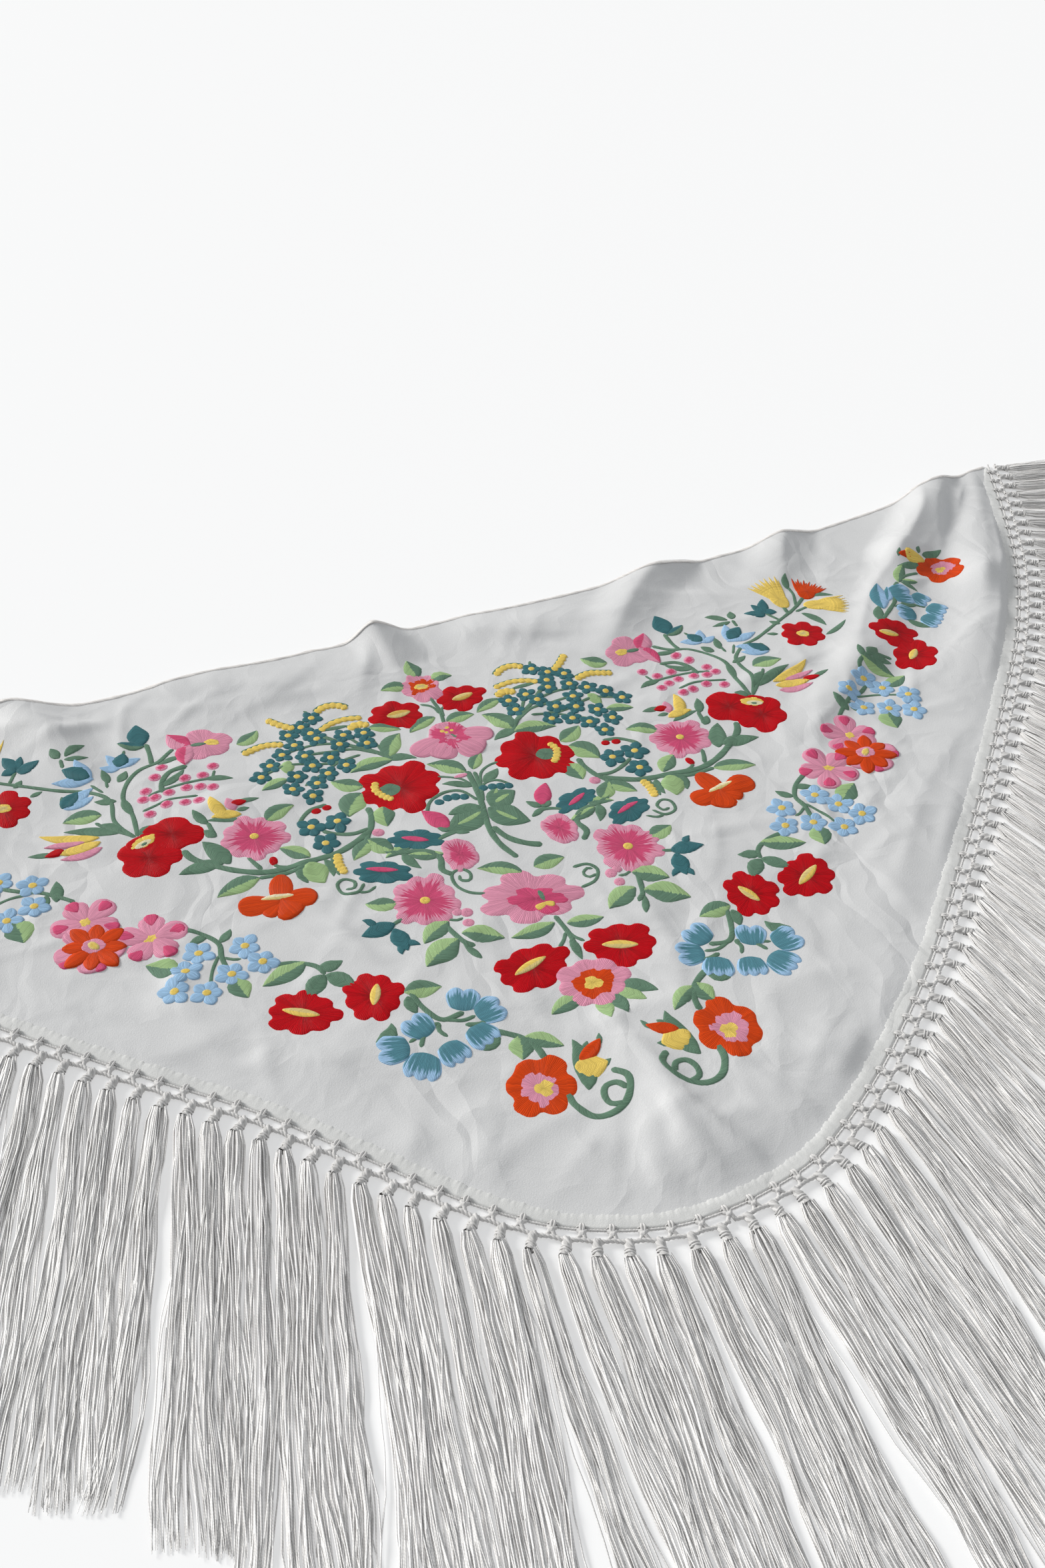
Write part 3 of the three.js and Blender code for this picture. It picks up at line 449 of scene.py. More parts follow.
def beside(x, y, x1, y1, x2, y2):
    """How far places are along a segment, and to its left, and the segment's length."""
    dx, dy = x2 - x1, y2 - y1
    length = math.hypot(dx, dy)
    return ((x - x1) * dx + (y - y1) * dy) / length, ((y - y1) * dx - (x - x1) * dy) / length, length


def lift(x, y):
    """How high the cloth is lifted off the floor, as in the part's solids."""
    h = np.zeros(np.shape(x))
    for *ends, bow, high, low, half in FOLDS:
        along, aside, length = beside(x, y, *ends)
        share = np.clip(along / length, 0, 1)
        away = np.hypot(aside - bow * np.sin(np.pi * share), along - share * length) / half
        h += (high + (low - high) * share) * (0.5 + 0.5 * np.cos(np.pi * np.minimum(away, 1)))
    return h * smooth(above_leg(x, y), 6, 46)


# Soft puckers around the embroidery: x, y, direction, length, half width, height.
PUCKERS, TRIES = [], 460
for _ in range(TRIES):
    cx, cy = rng.uniform(-430, 430), rng.uniform(-225, 235)
    if above_leg(cx, cy) < 30 or cy > 225 + abs(cx) * 0.06:
        continue
    size = rng.uniform(0, math.pi), rng.uniform(10, 34), rng.uniform(3, 7), rng.uniform(0.35, 1.05)
    PUCKERS.append((cx, cy, *size))
# Short gathers that run from the garland's middle to the point's hem.
for fan_angle in range(-158, -21, 17):
    angle = math.radians(fan_angle + rng.uniform(-4, 4))
    PUCKERS.append((2 + 62 * math.cos(angle), -158 + 52 * math.sin(angle), angle, 34, 4, 0.7))


def creases(x, y):
    """What the puckers, the sharper creases and a slow swell add to the cloth's height."""
    h = np.zeros(np.shape(x))
    for cx, cy, angle, long, half, high in PUCKERS:
        c, s = math.cos(angle), math.sin(angle)
        u, v = (x - cx) * c + (y - cy) * s, (y - cy) * c - (x - cx) * s
        v = v + 3 * np.sin(u / 19 + cx)
        h += high * np.exp(-((u / long) ** 2) - (v / half) ** 2)
    for *ends, bow, high, half in WRINKLES:
        along, aside, length = beside(x, y, *ends)
        inside = np.clip(along / length, 0, 1)
        aside = aside - bow * np.sin(np.pi * inside) + 1.2 * np.sin(along / 17 + ends[0])
        fade = np.sin(np.pi * (0.12 + 0.76 * inside)) * np.exp(-(((along - inside * length) / 12) ** 2))
        steep_side, soft_side = aside / (0.75 * half), aside / (2.2 * half)
        aside = np.where(aside > 0, steep_side, soft_side)
        h += 1.75 * high * fade * np.exp(0.2 - 1.15 * np.sqrt(aside**2 + 0.08))
    h += 0.55 * (1 + np.sin(x / 31 + np.sin(y / 41) * 1.6)) * (1 + np.sin(y / 27 + x / 73))
    return h * smooth(above_leg(x, y), 5, 24)


FIELD_STEP = 2.0
FIELD_X, FIELD_Y = np.arange(-560, 561, FIELD_STEP), np.arange(-270, 341, FIELD_STEP)
FIELD_PLACES = np.meshgrid(FIELD_X, FIELD_Y, indexing="ij")
FIELD = lift(*FIELD_PLACES) + creases(*FIELD_PLACES)


def top(xy):
    """The height of the cloth's face at places."""
    fx, fy = (xy[..., 0] - FIELD_X[0]) / FIELD_STEP, (xy[..., 1] - FIELD_Y[0]) / FIELD_STEP
    i, j = np.clip(fx.astype(int), 0, len(FIELD_X) - 2), np.clip(fy.astype(int), 0, len(FIELD_Y) - 2)
    a, b = fx - i, fy - j
    near = FIELD[i, j] * (1 - a) + FIELD[i + 1, j] * a
    far = FIELD[i, j + 1] * (1 - a) + FIELD[i + 1, j + 1] * a
    return CLOTH_THICKNESS + (near * (1 - b) + far * b)


def on_cloth(xy, height):
    """Places as points at a height over the cloth's face."""
    return np.dstack([xy, top(xy) + height])


# Meshes.
def placed(name, data):
    made = bpy.data.objects.new(name, data)
    bpy.context.scene.collection.objects.link(made)
    return made


def grid_faces(m, n, wrap):
    """The faces of a grid of m by n points. With wrap, the last column joins the first."""
    i, j = np.meshgrid(np.arange(m - 1), np.arange(n if wrap else n - 1), indexing="ij")
    k = (j + 1) % n
    return np.stack([i * n + j, (i + 1) * n + j, (i + 1) * n + k, i * n + k], -1).reshape(-1, 4)


class Stack:
    """Collects patches, each a grid of points, into one mesh."""

    def __init__(self):
        self.points, self.faces, self.values, self.count = [], [], [], 0

    def put(self, points, faces, *values):
        """Points (..., 3), faces counted from the first of them, and each point's uv, colours and shade."""
        self.points.append(points.reshape(-1, 3))
        self.faces.append(faces + self.count)
        self.values.append(np.concatenate(values, -1).reshape(-1, 9))
        self.count += len(self.points[-1])

    def add(self, p, uv, colour_a, colour_b=None, shade=0.0, wrap=False):
        """A patch: p is (m, n, 3) in mm and uv (m, n, 2). Shade 0 shows colour a, and 1 shows colour b."""
        m, n = p.shape[:2]
        a = np.broadcast_to(colour_a, (m, n, 3))
        b = a if colour_b is None else np.broadcast_to(colour_b, (m, n, 3))
        faces = grid_faces(m, n, wrap)
        if not wrap:
            flat = p.reshape(-1, 3)
            d1, d2 = flat[faces[:, 2]] - flat[faces[:, 0]], flat[faces[:, 3]] - flat[faces[:, 1]]
            if (d1[:, 0] * d2[:, 1] - d1[:, 1] * d2[:, 0]).sum() < 0:
                faces = faces[:, ::-1]
        self.put(p, faces, uv, a, b, np.broadcast_to(shade, (m, n))[..., None])

    def mesh(self, name, material):
        points, faces, values = np.vstack(self.points) * MM, np.vstack(self.faces), np.vstack(self.values)
        data = bpy.data.meshes.new(name)
        data.vertices.add(len(points))
        data.vertices.foreach_set("co", points.astype(np.float32).ravel())
        data.loops.add(faces.size)
        data.loops.foreach_set("vertex_index", faces.astype(np.int32).ravel())
        data.polygons.add(len(faces))
        data.polygons.foreach_set("loop_start", np.arange(0, faces.size, 4, dtype=np.int32))
        data.update(calc_edges=True)
        data.validate()
        data.polygons.foreach_set("use_smooth", np.ones(len(faces), bool))
        uv = data.uv_layers.new(name="thread")
        uv.data.foreach_set("uv", values[faces.ravel(), :2].astype(np.float32).ravel())
        for label, columns in (("tint_a", slice(2, 5)), ("tint_b", slice(5, 8))):
            layer = data.attributes.new(label, "FLOAT_COLOR", "POINT")
            rgba = np.ones((len(points), 4), np.float32)
            rgba[:, :3] = values[:, columns]
            layer.data.foreach_set("color", rgba.ravel())
        layer = data.attributes.new("shade", "FLOAT", "POINT")
        layer.data.foreach_set("value", values[:, 8].astype(np.float32))
        data.materials.append(material)
        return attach(placed(name, data), "root")


# Materials.
class Nodes:
    """A material's node tree, with short ways to add and join nodes."""

    def __init__(self, name):
        self.material = bpy.data.materials.new(name)
        self.material.use_nodes = True
        self.tree = self.material.node_tree
        self.shader = self.tree.nodes["Principled BSDF"]

    def join(self, socket, value):
        if isinstance(value, bpy.types.NodeSocket):
            self.tree.links.new(value, socket)
        else:
            socket.default_value = value

    def node(self, kind, inputs=(), output=0, **settings):
        """Adds a node and gives one of its outputs."""
        n = self.tree.nodes.new("ShaderNode" + kind)
        for key, value in settings.items():
            setattr(n, key, value)
        for key, value in dict(inputs).items():
            self.join(n.inputs[key], value)
        return n.outputs[output]

    def math(self, kind, *values):
        return self.node("Math", enumerate(values), operation=kind)

    def plus(self, a, b):
        return self.math("ADD", a, b)

    def times(self, a, b):
        return self.math("MULTIPLY", a, b)

    def mix(self, factor, a, b, blend="MIX"):
        return self.node("Mix", {0: factor, 6: a, 7: b}, 2, data_type="RGBA", blend_type=blend)

    def noise(self, vector, scale, detail=2.0, roughness=0.5, output="Fac"):
        inputs = {"Vector": vector, "Scale": scale, "Detail": detail, "Roughness": roughness}
        return self.node("TexNoise", inputs, output)

    def mapped(self, vector, scale, turn=0.0):
        return self.node("Mapping", {"Vector": vector, "Rotation": (0, 0, turn), "Scale": scale})

    def ramp(self, value, low, high):
        return self.node("MapRange", {0: value, 1: low, 2: high})

    def bump(self, height, strength, distance):
        bent = self.node("Bump", {"Height": height, "Strength": strength, "Distance": distance})
        self.join(self.shader.inputs["Normal"], bent)

    def set(self, **values):
        for key, value in values.items():
            self.join(self.shader.inputs[key.replace("_", " ")], value)


def grey(v):
    return (v, v, v, 1)


def cloth_material(name, colour, roughness, wrinkle):
    """Crepe: a grainy weave, with soft dents, flat facets and fine ridges in its bump."""
    m = Nodes(name)
    place = m.node("TexCoord", output="Object")
    weave = m.noise(m.mapped(place, (2200, 700, 1)), 1.0, 1.0)
    weft = m.noise(m.mapped(place, (700, 2200, 1)), 1.0, 1.0)
    crepe = m.plus(weave, weft)
    base = m.mix(m.noise(place, 9.0, 3.0), (*linear(colour), 1), (*(linear(colour) * 0.95), 1))
    m.set(Base_Color=m.mix(m.times(crepe, 0.5), base, m.mix(1.0, base, grey(0.8), "MULTIPLY")))
    m.set(Roughness=roughness, Sheen_Weight=0.25, Sheen_Roughness=0.4, Specular_IOR_Level=0.35)
    dents = m.times(m.noise(place, 55.0), wrinkle)
    bent = m.mix(1.0, m.noise(place, 14.0, output="Color"), grey(0.07), "MULTIPLY")
    warped = m.node("VectorMath", {0: place, 1: bent}, operation="ADD")
    cells = {"Vector": m.mapped(warped, (26, 13, 1), 0.6), "Scale": 1.0}
    facet = m.node("TexVoronoi", cells, "Distance", feature="DISTANCE_TO_EDGE")
    where = m.ramp(m.noise(place, 7.0, 1.0), 0.4, 0.62)
    facets = m.times(m.times(facet, where), 42 * wrinkle)
    ridge = m.math("ABSOLUTE", m.math("SUBTRACT", m.noise(warped, 34.0, roughness=0.4), 0.5))
    soft = m.math("SUBTRACT", m.plus(dents, facets), m.times(ridge, 14 * wrinkle))
    m.bump(m.plus(m.times(crepe, 0.7), soft), 0.5, 0.00025)
    return m.material


def thread_material(name, roughness, ragged, pitch, depth, sheen, contrast, specular):
    """Thread: u crosses the threads and v runs along them, both in mm, and pitch is from one to the next.

    ragged roughens the line where two colours meet, depth, in metres, is that of the grooves in the bump,
    and contrast says how much the threads differ and how dark the painted shade in the grooves between them is.
    """
    m = Nodes(name)
    uv = m.node("UVMap", uv_map="thread")
    u, v = m.node("SeparateXYZ", {0: uv}), m.node("SeparateXYZ", {0: uv}, 1)
    wobble = m.times(m.noise(m.node("CombineXYZ", {0: u, 1: v}), 0.35, 1.0), 0.9)
    strand = m.math("DIVIDE", m.plus(u, wobble), pitch)
    number = m.math("FLOOR", strand)
    own = m.node("TexWhiteNoise", {"Vector": m.node("CombineXYZ", {0: number})}, "Value", noise_dimensions="3D")
    blur = m.noise(m.node("CombineXYZ", {0: number, 1: m.times(v, 0.06)}), 3.1, 1.0)
    wave = m.math("ABSOLUTE", m.math("SINE", m.times(strand, math.pi)))
    shade = m.node("Attribute", output="Fac", attribute_name="shade")
    step = m.ramp(m.plus(shade, m.times(m.math("SUBTRACT", own, 0.5), ragged)), 0.35, 0.65)
    a, b = (m.node("Attribute", output="Color", attribute_name=tint) for tint in ("tint_a", "tint_b"))
    tone = m.plus(m.times(m.plus(own, blur), contrast), 1 - 1.25 * contrast)
    # The tone is darkened in the grooves between threads: painted shade.
    groove = 1.6 * contrast
    tone = m.times(tone, m.plus(m.times(m.math("POWER", wave, 0.5), groove), 1.02 - groove))
    shades = m.node("CombineColor", {0: tone, 1: tone, 2: tone})
    m.set(Base_Color=m.mix(1.0, m.mix(step, a, b), shades, "MULTIPLY"))
    m.set(Roughness=roughness, Sheen_Weight=sheen, Sheen_Roughness=0.35, Specular_IOR_Level=specular)
    m.bump(m.math("POWER", wave, 0.6), 0.75, depth)
    return m.material


CREPE = cloth_material("crepe", (217, 217, 217), 0.52, 0.9)
HEM = cloth_material("hem_crepe", (219, 219, 217), 0.6, 1.0)
SATIN = thread_material(
    "satin_stitch", roughness=0.5, ragged=0.8, pitch=0.8, depth=0.00018,
    sheen=0.02, contrast=0.24, specular=0.1,
)
YARN = thread_material(
    "fringe_yarn", roughness=0.75, ragged=0, pitch=1.4, depth=0.00006,
    sheen=0.35, contrast=0.1, specular=0.15,
)
ROLL = thread_material(
    "rolled_hem_thread", roughness=0.5, ragged=0, pitch=0.8, depth=0.0002,
    sheen=0.2, contrast=0.16, specular=0.3,
)

# Embroidery. Each patch lies on the cloth's face, with its outer rim sunk into the cloth.
RIM = -0.06
# A leaf's half width at shares of its length, by its shape.
PROFILES = {
    "star": lambda t: np.sin(np.pi * t**1.3) ** 0.75,
    "leaf": lambda t: np.sin(np.pi * t**0.85) ** 0.92,
    "spindle": lambda t: np.sin(np.pi * t) ** 0.7,
    "petal": lambda t: t**0.75 * np.sqrt(np.maximum(1 - t**3, 0)) / 0.62,
    "round": lambda t: np.sqrt(np.maximum(1 - t**2.2, 0)) * (0.5 + 0.5 * t**0.4),
}
ACROSS_LEAF = np.array([-1, -0.9, -0.5, -0.12, 0.12, 0.5, 0.9, 1])
ACROSS_STEM = np.array([-1, -0.9, -0.5, 0.5, 0.9, 1])
RINGS, FEW_RINGS = np.array([0, 0.12, 0.3, 0.5, 0.7, 0.85, 0.95, 1]), np.array([0, 0.4, 0.8, 1])
SHELL_RINGS = np.array([0, 0.08, 0.25, 0.5, 0.7, 0.85, 0.95, 1])


def level_height(level):
    return 0.1 + 0.11 * level


def sunk_rim(h):
    """Heights over the cloth, with the outermost ring just under its face."""
    h[[0, -1]] = h[:, [0, -1]] = RIM
    return h


def around(x, y, angle, reach):
    """The place at a reach from another."""
    return x + reach * math.cos(angle), y + reach * math.sin(angle)


def tints(colours):
    """The first and the last letter's colour, which are the same where there is one."""
    return linear(colours[0]), linear(colours[-1])


def leaf(stack, x1, y1, x2, y2, width, bend, colours, level=0, shape="leaf", meet=None):
    """With meet, the colours change from the base to the tip there. Else they are those of the two sides."""
    a, b = np.array([x1, y1], float), np.array([x2, y2], float)
    length = np.linalg.norm(b - a)
    mid = (a + b) / 2 + left_of(b - a) * bend
    steps = int(np.clip(length / 1.8, 8, 18))
    t = ((1 - np.cos(np.linspace(0, np.pi, steps))) / 2)[:, None]
    spine = (1 - t) ** 2 * a + 2 * t * (1 - t) * mid + t**2 * b
    run = 2 * (1 - t) * (mid - a) + 2 * t * (b - mid)
    run /= np.linalg.norm(run, axis=1, keepdims=True)
    w = PROFILES[shape](t) * width / 2
    uneven = 1 + 0.05 * np.sin(t * length * 1.9 + x1) * (shape == "leaf")
    s = ACROSS_LEAF[None]
    xy = spine[:, None] + left_of(run)[:, None] * (s * w * uneven)[..., None]
    dome = 0.12 + 0.02 * min(width, 12)
    groove = 0.42 * np.exp(-((s / 0.2) ** 2)) * (shape == "leaf") * (width > 5)
    h = level_height(level) + dome * (1 - np.abs(s) ** 3) * np.minimum(1, w / 1.5) * (1 - groove)
    p = on_cloth(xy, sunk_rim(h))
    along, across = t * length, s * w
    if shape in ("leaf", "spindle"):
        uv = together(along + np.abs(across) * 0.8, across)
    else:
        uv = together(s * width / 2 + x1, along)
    first, last = tints(colours)
    if meet is None:
        stack.add(p, uv, last, first, change(s, 0, 0.2))
    else:
        stack.add(p, uv, first, last, change(t, meet, 0.3))


def flower(stack, x, y, rx, ry, turn, lobes, notch, colours, level, meet=0.5):
    a = np.linspace(0, 2 * np.pi, max(22, lobes * 9) + 1)[None]
    rings = (RINGS if rx >= 4.5 else FEW_RINGS)[:, None]
    notch *= 0.45 if rx < 13 and lobes > 3 else 1  # the inner fields have a nearly smooth outline
    wave = np.abs(np.cos(lobes * a / 2)) if lobes else np.ones_like(a)
    reach = 1 - 1.7 * notch * (1 - np.minimum(1, wave * 1.15) ** 0.8)
    if lobes:
        own = np.sin(np.round(a * lobes / (2 * np.pi)) % lobes * 2.4 + x * 0.7 + y) * 0.08
        reach = reach * (1 + own * smooth(wave, 0, 0.6))
    c, s = math.cos(math.radians(turn)), math.sin(math.radians(turn))
    u, v = rings * reach * rx * np.cos(a), rings * reach * ry * np.sin(a)
    xy = np.dstack([x + u * c - v * s, y + u * s + v * c])
    size = (rx + ry) / 2
    dome = 0.14 + 0.012 * min(size, 14)
    groove = 0.5 * (1 - np.minimum(1, wave * 2.6)) * (rings > 0.3) * rings if lobes else 0
    dip = 0.6 + 0.4 * np.sqrt(rings) if size > 8 else 1
    h = np.where(rings == 1, RIM, level_height(level) + dome * (1 - rings**4) * (1 - groove) * dip)
    uv = together(a * size * 0.72, rings * size)
    stack.add(on_cloth(xy, h), uv, *tints(colours), change(rings, meet, 0.34))


def sprig_flower(stack, colour, size, centre, x, y):
    turn = (x * 37 + y * 91) % 72
    for k in range(5):
        a = math.radians(turn + 72 * k + 5 * math.sin(x + k))
        r = size * (0.94 + 0.1 * math.sin(x * 3 + y + 2 * k))
        leaf(stack, x, y, *around(x, y, a, r), size * 0.8, 0, colour, 1, "star")
    flower(stack, x, y, centre, centre * 0.92, 0, 0, 0, "YH", 3, 0.7)


def fan_angles(turn, spread, petals):
    return [math.radians(turn + spread * (k / (petals - 1) - 0.5)) for k in range(petals)]


def fan(stack, x, y, turn, spread, petals, length, width, colours, level, shape, meet):
    for k, a in enumerate(fan_angles(turn, spread, petals)):
        r = length * (0.95 + 0.07 * math.sin(3.1 * k + x))
        bend = 0.04 * math.sin(k * 2 + y) if shape == "leaf" else 0
        leaf(stack, x, y, *around(x, y, a, r), width, bend, colours, level + 0.15 * (k % 2), shape, meet)


def tips(stack, x, y, turn, spread, petals, start, end, width, colour, level):
    for a in fan_angles(turn, spread, petals):
        leaf(stack, *around(x, y, a, start), *around(x, y, a, end), width, 0, colour, level, "petal")


def shell(stack, x1, y1, x2, y2, lobes):
    """A fan of thread from a narrow base to a lobed rim of a lighter colour."""
    a, b = np.array([x1, y1], float), np.array([x2, y2], float)
    long = np.linalg.norm(b - a)
    run = (b - a) / long
    t = SHELL_RINGS[:, None]
    s = np.linspace(-1, 1, 29)[None]
    scallops = 1 - np.abs(np.cos(np.pi * (lobes * (s + 1) / 2 - 0.5))) ** 0.7
    rim = (1 - 0.2 * s**4) * (1.08 - 0.17 * scallops)
    along = long * (0.1 * s**2 + t * (rim - 0.1 * s**2))
    across = long * s * (0.36 + 0.3 * np.sqrt(t) - 0.05 * t**6)
    xy = a + run * along[..., None] + left_of(run) * across[..., None]
    edge = np.maximum(np.abs(s) ** 8, np.abs(2 * t - 1) ** 8)
    h = sunk_rim(level_height(1) + 0.3 * (1 - edge))
    bright = change(np.maximum(t, np.abs(s) ** 3 * 0.9), 0.68, 0.5)
    stack.add(on_cloth(xy, h), together(s * long * 0.62, t * long), *tints("SB"), bright)


def stem(stack, width, points, colour="G", level=0, beads=0):
    line = Line(points, 16)
    t = np.linspace(0, 1, beads * 7 if beads else int(max(6, line.length / 1.7)))[:, None]
    xy, run = line.at(t[:, 0]), line.tangent(t[:, 0])
    from_end = np.minimum(t, 1 - t) * line.length
    w = width / 2 * np.sqrt(np.clip(from_end / (width * 0.45) + 0.08, 0, 1))
    bead = np.abs(np.sin(np.pi * beads * t)) if beads else 1
    w = w * (0.62 + 0.38 * bead if beads else 1 + 0.06 * np.sin(t * line.length * 0.45 + points[0][0]))
    s = ACROSS_STEM[None]
    xy = xy[:, None] + left_of(run)[:, None] * (s * w)[..., None]
    h = level_height(level) + (0.12 + 0.04 * width) * (1 - s**4) * (0.45 + 0.55 * bead)
    uv = together(t * line.length + s * w * 0.9, s * w)
    stack.add(on_cloth(xy, sunk_rim(h + 0 * t)), uv, linear(colour))


def catkin(stack, width, beads, points, aside, m):
    points = [(m * x, y) for x, y in points]
    stem(stack, width, points, "Y", 3 if aside is None else 2, beads)
    if aside is not None:
        line = Line(points, 16)
        t = np.linspace(0, 1, 5)
        stem(stack, 1.8, (line.at(t) + left_of(line.tangent(t) * m) * aside).tolist())


green, petals, details = Stack(), Stack(), Stack()


def mirrored(turn, m):
    return turn if m > 0 else 180 - turn


def leaf_row(m, x1, y1, x2, y2, width, bend, colours, level=0, shape="leaf"):
    """Draws a row of a table. With m = -1 it is mirrored, and its left and right colours change places."""
    into = green if level == 0 else details if level == 3 else petals
    leaf(into, m * x1, y1, m * x2, y2, width, m * bend, colours[::m], level, shape)


def flower_row(m, x, y, rx, ry, turn, lobes, notch, colours, level, meet=0.5):
    into = details if level >= 3 else petals
    flower(into, m * x, y, rx, ry, mirrored(turn, m), lobes, notch, colours, level, meet)


for row in LEAVES_MID:
    leaf_row(1, *row)
for row in FLOWERS_MID:
    flower_row(1, *row)
for width, points in STEMS_MID:
    stem(green, width, points)
for m in (1, -1):
    for row in LEAVES_SIDE:
        leaf_row(m, *row)
    for row in FLOWERS_SIDE + CENTRES_SIDE:
        flower_row(m, *row)
    for width, points in STEMS_SIDE:
        stem(green, width, [(m * x, y) for x, y in points])
    for colour, size, centre, places in SPRIGS_SIDE:
        for x, y in places:
            sprig_flower(petals, colour, size, centre, m * x, y)
    for x, y in BERRIES_SIDE:
        flower(petals, m * x, y, BERRY_SIZE, BERRY_SIZE * 0.95, 0, 0, 0, "KP", 1, 0.6)
    for draw, table in ((fan, FANS_SIDE), (tips, TIPS_SIDE)):
        for x, y, turn, *rest in table:
            draw(petals, m * x, y, mirrored(turn, m), *rest)
    for x1, y1, x2, y2, lobes in SHELLS_SIDE:
        shell(petals, m * x1, y1, m * x2, y2, lobes)
    for row in CATKINS:
        catkin(details, *row, m)

embroidery = [
    green.mesh("embroidery_leaves_and_stems", SATIN),
    petals.mesh("embroidery_petals", SATIN),
    details.mesh("embroidery_centres_and_catkins", SATIN),
]

# The cloth: its columns run from a leg to the long edge, and its rim turns down to the underside.
FACE_COLUMNS, FACE_ROWS = 470, 140
BACK_COLUMNS, BACK_ROWS = 150, 44
BACK_HEIGHT = 0.08  # the underside, over the lift


def cloth_grid(columns, rows):
    i = np.linspace(0, 1, columns + 1)
    cut, cut_above = CORNER_CUT / legs.length, CORNER_CUT / long_edge.length
    low, high = legs.at(cut + (1 - 2 * cut) * i), long_edge.at(cut_above + (1 - 2 * cut_above) * i)
    j = np.linspace(0, 1, rows + 1)[None, :, None]
    return low[:, None] * (1 - j) + high[:, None] * j


def under(xy):
    """Places as points on the cloth's underside."""
    return np.dstack([xy, lift(xy[..., 0], xy[..., 1]) + BACK_HEIGHT])


def closed_rim(upper, lower):
    """The upper grid, with an outer ring at the lower grid's edge."""
    upper, lower = (np.pad(g, [(1, 1), (1, 1), (0, 0)], mode="edge") for g in (upper, lower))
    upper[[0, -1]] = lower[[0, -1]]
    upper[:, [0, -1]] = lower[:, [0, -1]]
    return upper


def one_patch(name, material, colour, p, uv):
    stack = Stack()
    stack.add(p, uv, linear(colour))
    return stack.mesh(name, material)


xy = cloth_grid(FACE_COLUMNS, FACE_ROWS)
p = closed_rim(on_cloth(xy, 0), under(xy))
cloth = one_patch("cloth", CREPE, CLOTH_COLOUR, p, p[..., :2])
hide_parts("cloth_panel")

p = under(cloth_grid(BACK_COLUMNS, BACK_ROWS))[::-1]
underside = one_patch("cloth_underside", CREPE, CLOTH_COLOUR, p, p[..., :2])
underside.data.flip_normals()


# The turned hem: a doubled band along the legs, with a stitched, slightly uneven inner edge.
def hem_band(steps=2400, end=7):
    cut = end / legs.length
    share = np.linspace(cut, 1 - cut, steps)
    p, _, out = leg_sides(share)
    d = share * legs.length
    jag = 0.6 * np.abs(np.sin(d / 0.8)) + 0.5 * np.sin(d / 9.1) * np.sin(d / 3.7) + 0.25 * np.sin(d / 1.3)
    taper = np.clip(np.minimum(share - cut, 1 - cut - share) * legs.length / 26, 0, 1)
    inner = (LEG_HEM - 0.6 + jag) * (0.3 + 0.7 * taper)
    s = np.array([0, 0.04, 0.2, 0.6, 0.93, 1])
    rise = np.array([-0.7, 0.3, 0.46, 0.36, 0.28, -0.05])
    off = inner[:, None] * s
    xy = p[:, None] - out[:, None] * off[..., None]
    swell = np.sin(d / 7.3 + 2 * np.sin(d / 31)) * np.sin(d / 23 + 1)
    stitches = 0.12 * np.sin(d[:, None] / 0.7) * (s > 0.6)
    ridges = stitches + 0.35 * swell[:, None] * np.sin(np.pi * s) ** 0.7
    return on_cloth(xy, rise + ridges), together(d[:, None], off)


leg_hem = one_patch("turned_hem", HEM, HEM_COLOUR, *hem_band())
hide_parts("leg_hem")


# The rolled hem of the long edge: a narrow roll, whipped with thread, that waves a little.
def rolled(steps=900, end=0.006, radius=1.5):
    share = np.linspace(end, 1 - end, steps)
    p, run = long_edge.at(share), long_edge.tangent(share)
    up = left_of(run)
    d = share * long_edge.length
    a = np.linspace(-0.1, 1.15, 7) * np.pi
    width = radius * (1 + 0.12 * np.sin(d / 4.3) + 0.1 * np.sin(d / 1.9))
    off = -radius + np.cos(a)[None] * width[:, None]
    xy = p[:, None] + up[:, None] * off[..., None]
    middle = top(p - up * radius)[:, None]
    z = middle + np.sin(a)[None] * (0.6 + 0.1 * np.sin(d / 2.2))[:, None]
    return np.dstack([xy, z]), together(d[:, None] + off * 0.8, off)


rolled_hem = one_patch("rolled_long_edge", ROLL, ROLL_COLOUR, *rolled())
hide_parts("rolled_hem")

# The fringe: cords, knots, wrapped necks and single yarns.
LOWEST = 0.1  # nothing of the fringe goes below this height
# Shares of the yarn's colour. The core's lower share is painted shade where it shows between the strands
# twisted over it.
CORE_SHADE_TONE, WHIP_TONE, CORD_TONE, KNOT_TONE, WRAP_TONE = 0.78, 0.82, 0.84, 0.85, 0.86
YARNS_EACH, YARN_RINGS, YARN_RADIUS = 48, 14, 0.38
HANG_TABLE, LOCK_TABLE = np.array(HANG, float), np.array(LOCK, float)


def tube(stack, centres, radius, sides, tone, ring=1, slant=0.35):
    """A tube along (k, 3) centres, whose yarns run along it at a slant. ring changes the radius along it."""
    c = np.asarray(centres, float)
    run = np.gradient(c, axis=0)
    run /= np.linalg.norm(run, axis=1, keepdims=True) + 1e-9
    flat = np.column_stack([left_of(run), 0 * run[:, 0]])
    flat /= np.linalg.norm(flat, axis=1, keepdims=True) + 1e-9
    up = np.cross(run, flat)
    a = (np.arange(sides) + 0.5) * 2 * np.pi / sides - np.pi / 2
    r = radius * (np.ones(len(c)) * ring)
    off = np.cos(a)[None, :, None] * flat[:, None] + np.sin(a)[None, :, None] * up[:, None]
    p = c[:, None] + off * r[:, None, None]
    p[..., 2] = np.maximum(p[..., 2], LOWEST)
    d = np.concatenate([[0], np.cumsum(np.linalg.norm(np.diff(c, axis=0), axis=1))])
    uv = together(a[None] * radius + d[:, None] * slant, d[:, None])
    stack.add(p, uv, linear(YARN_COLOUR * tone), wrap=True)


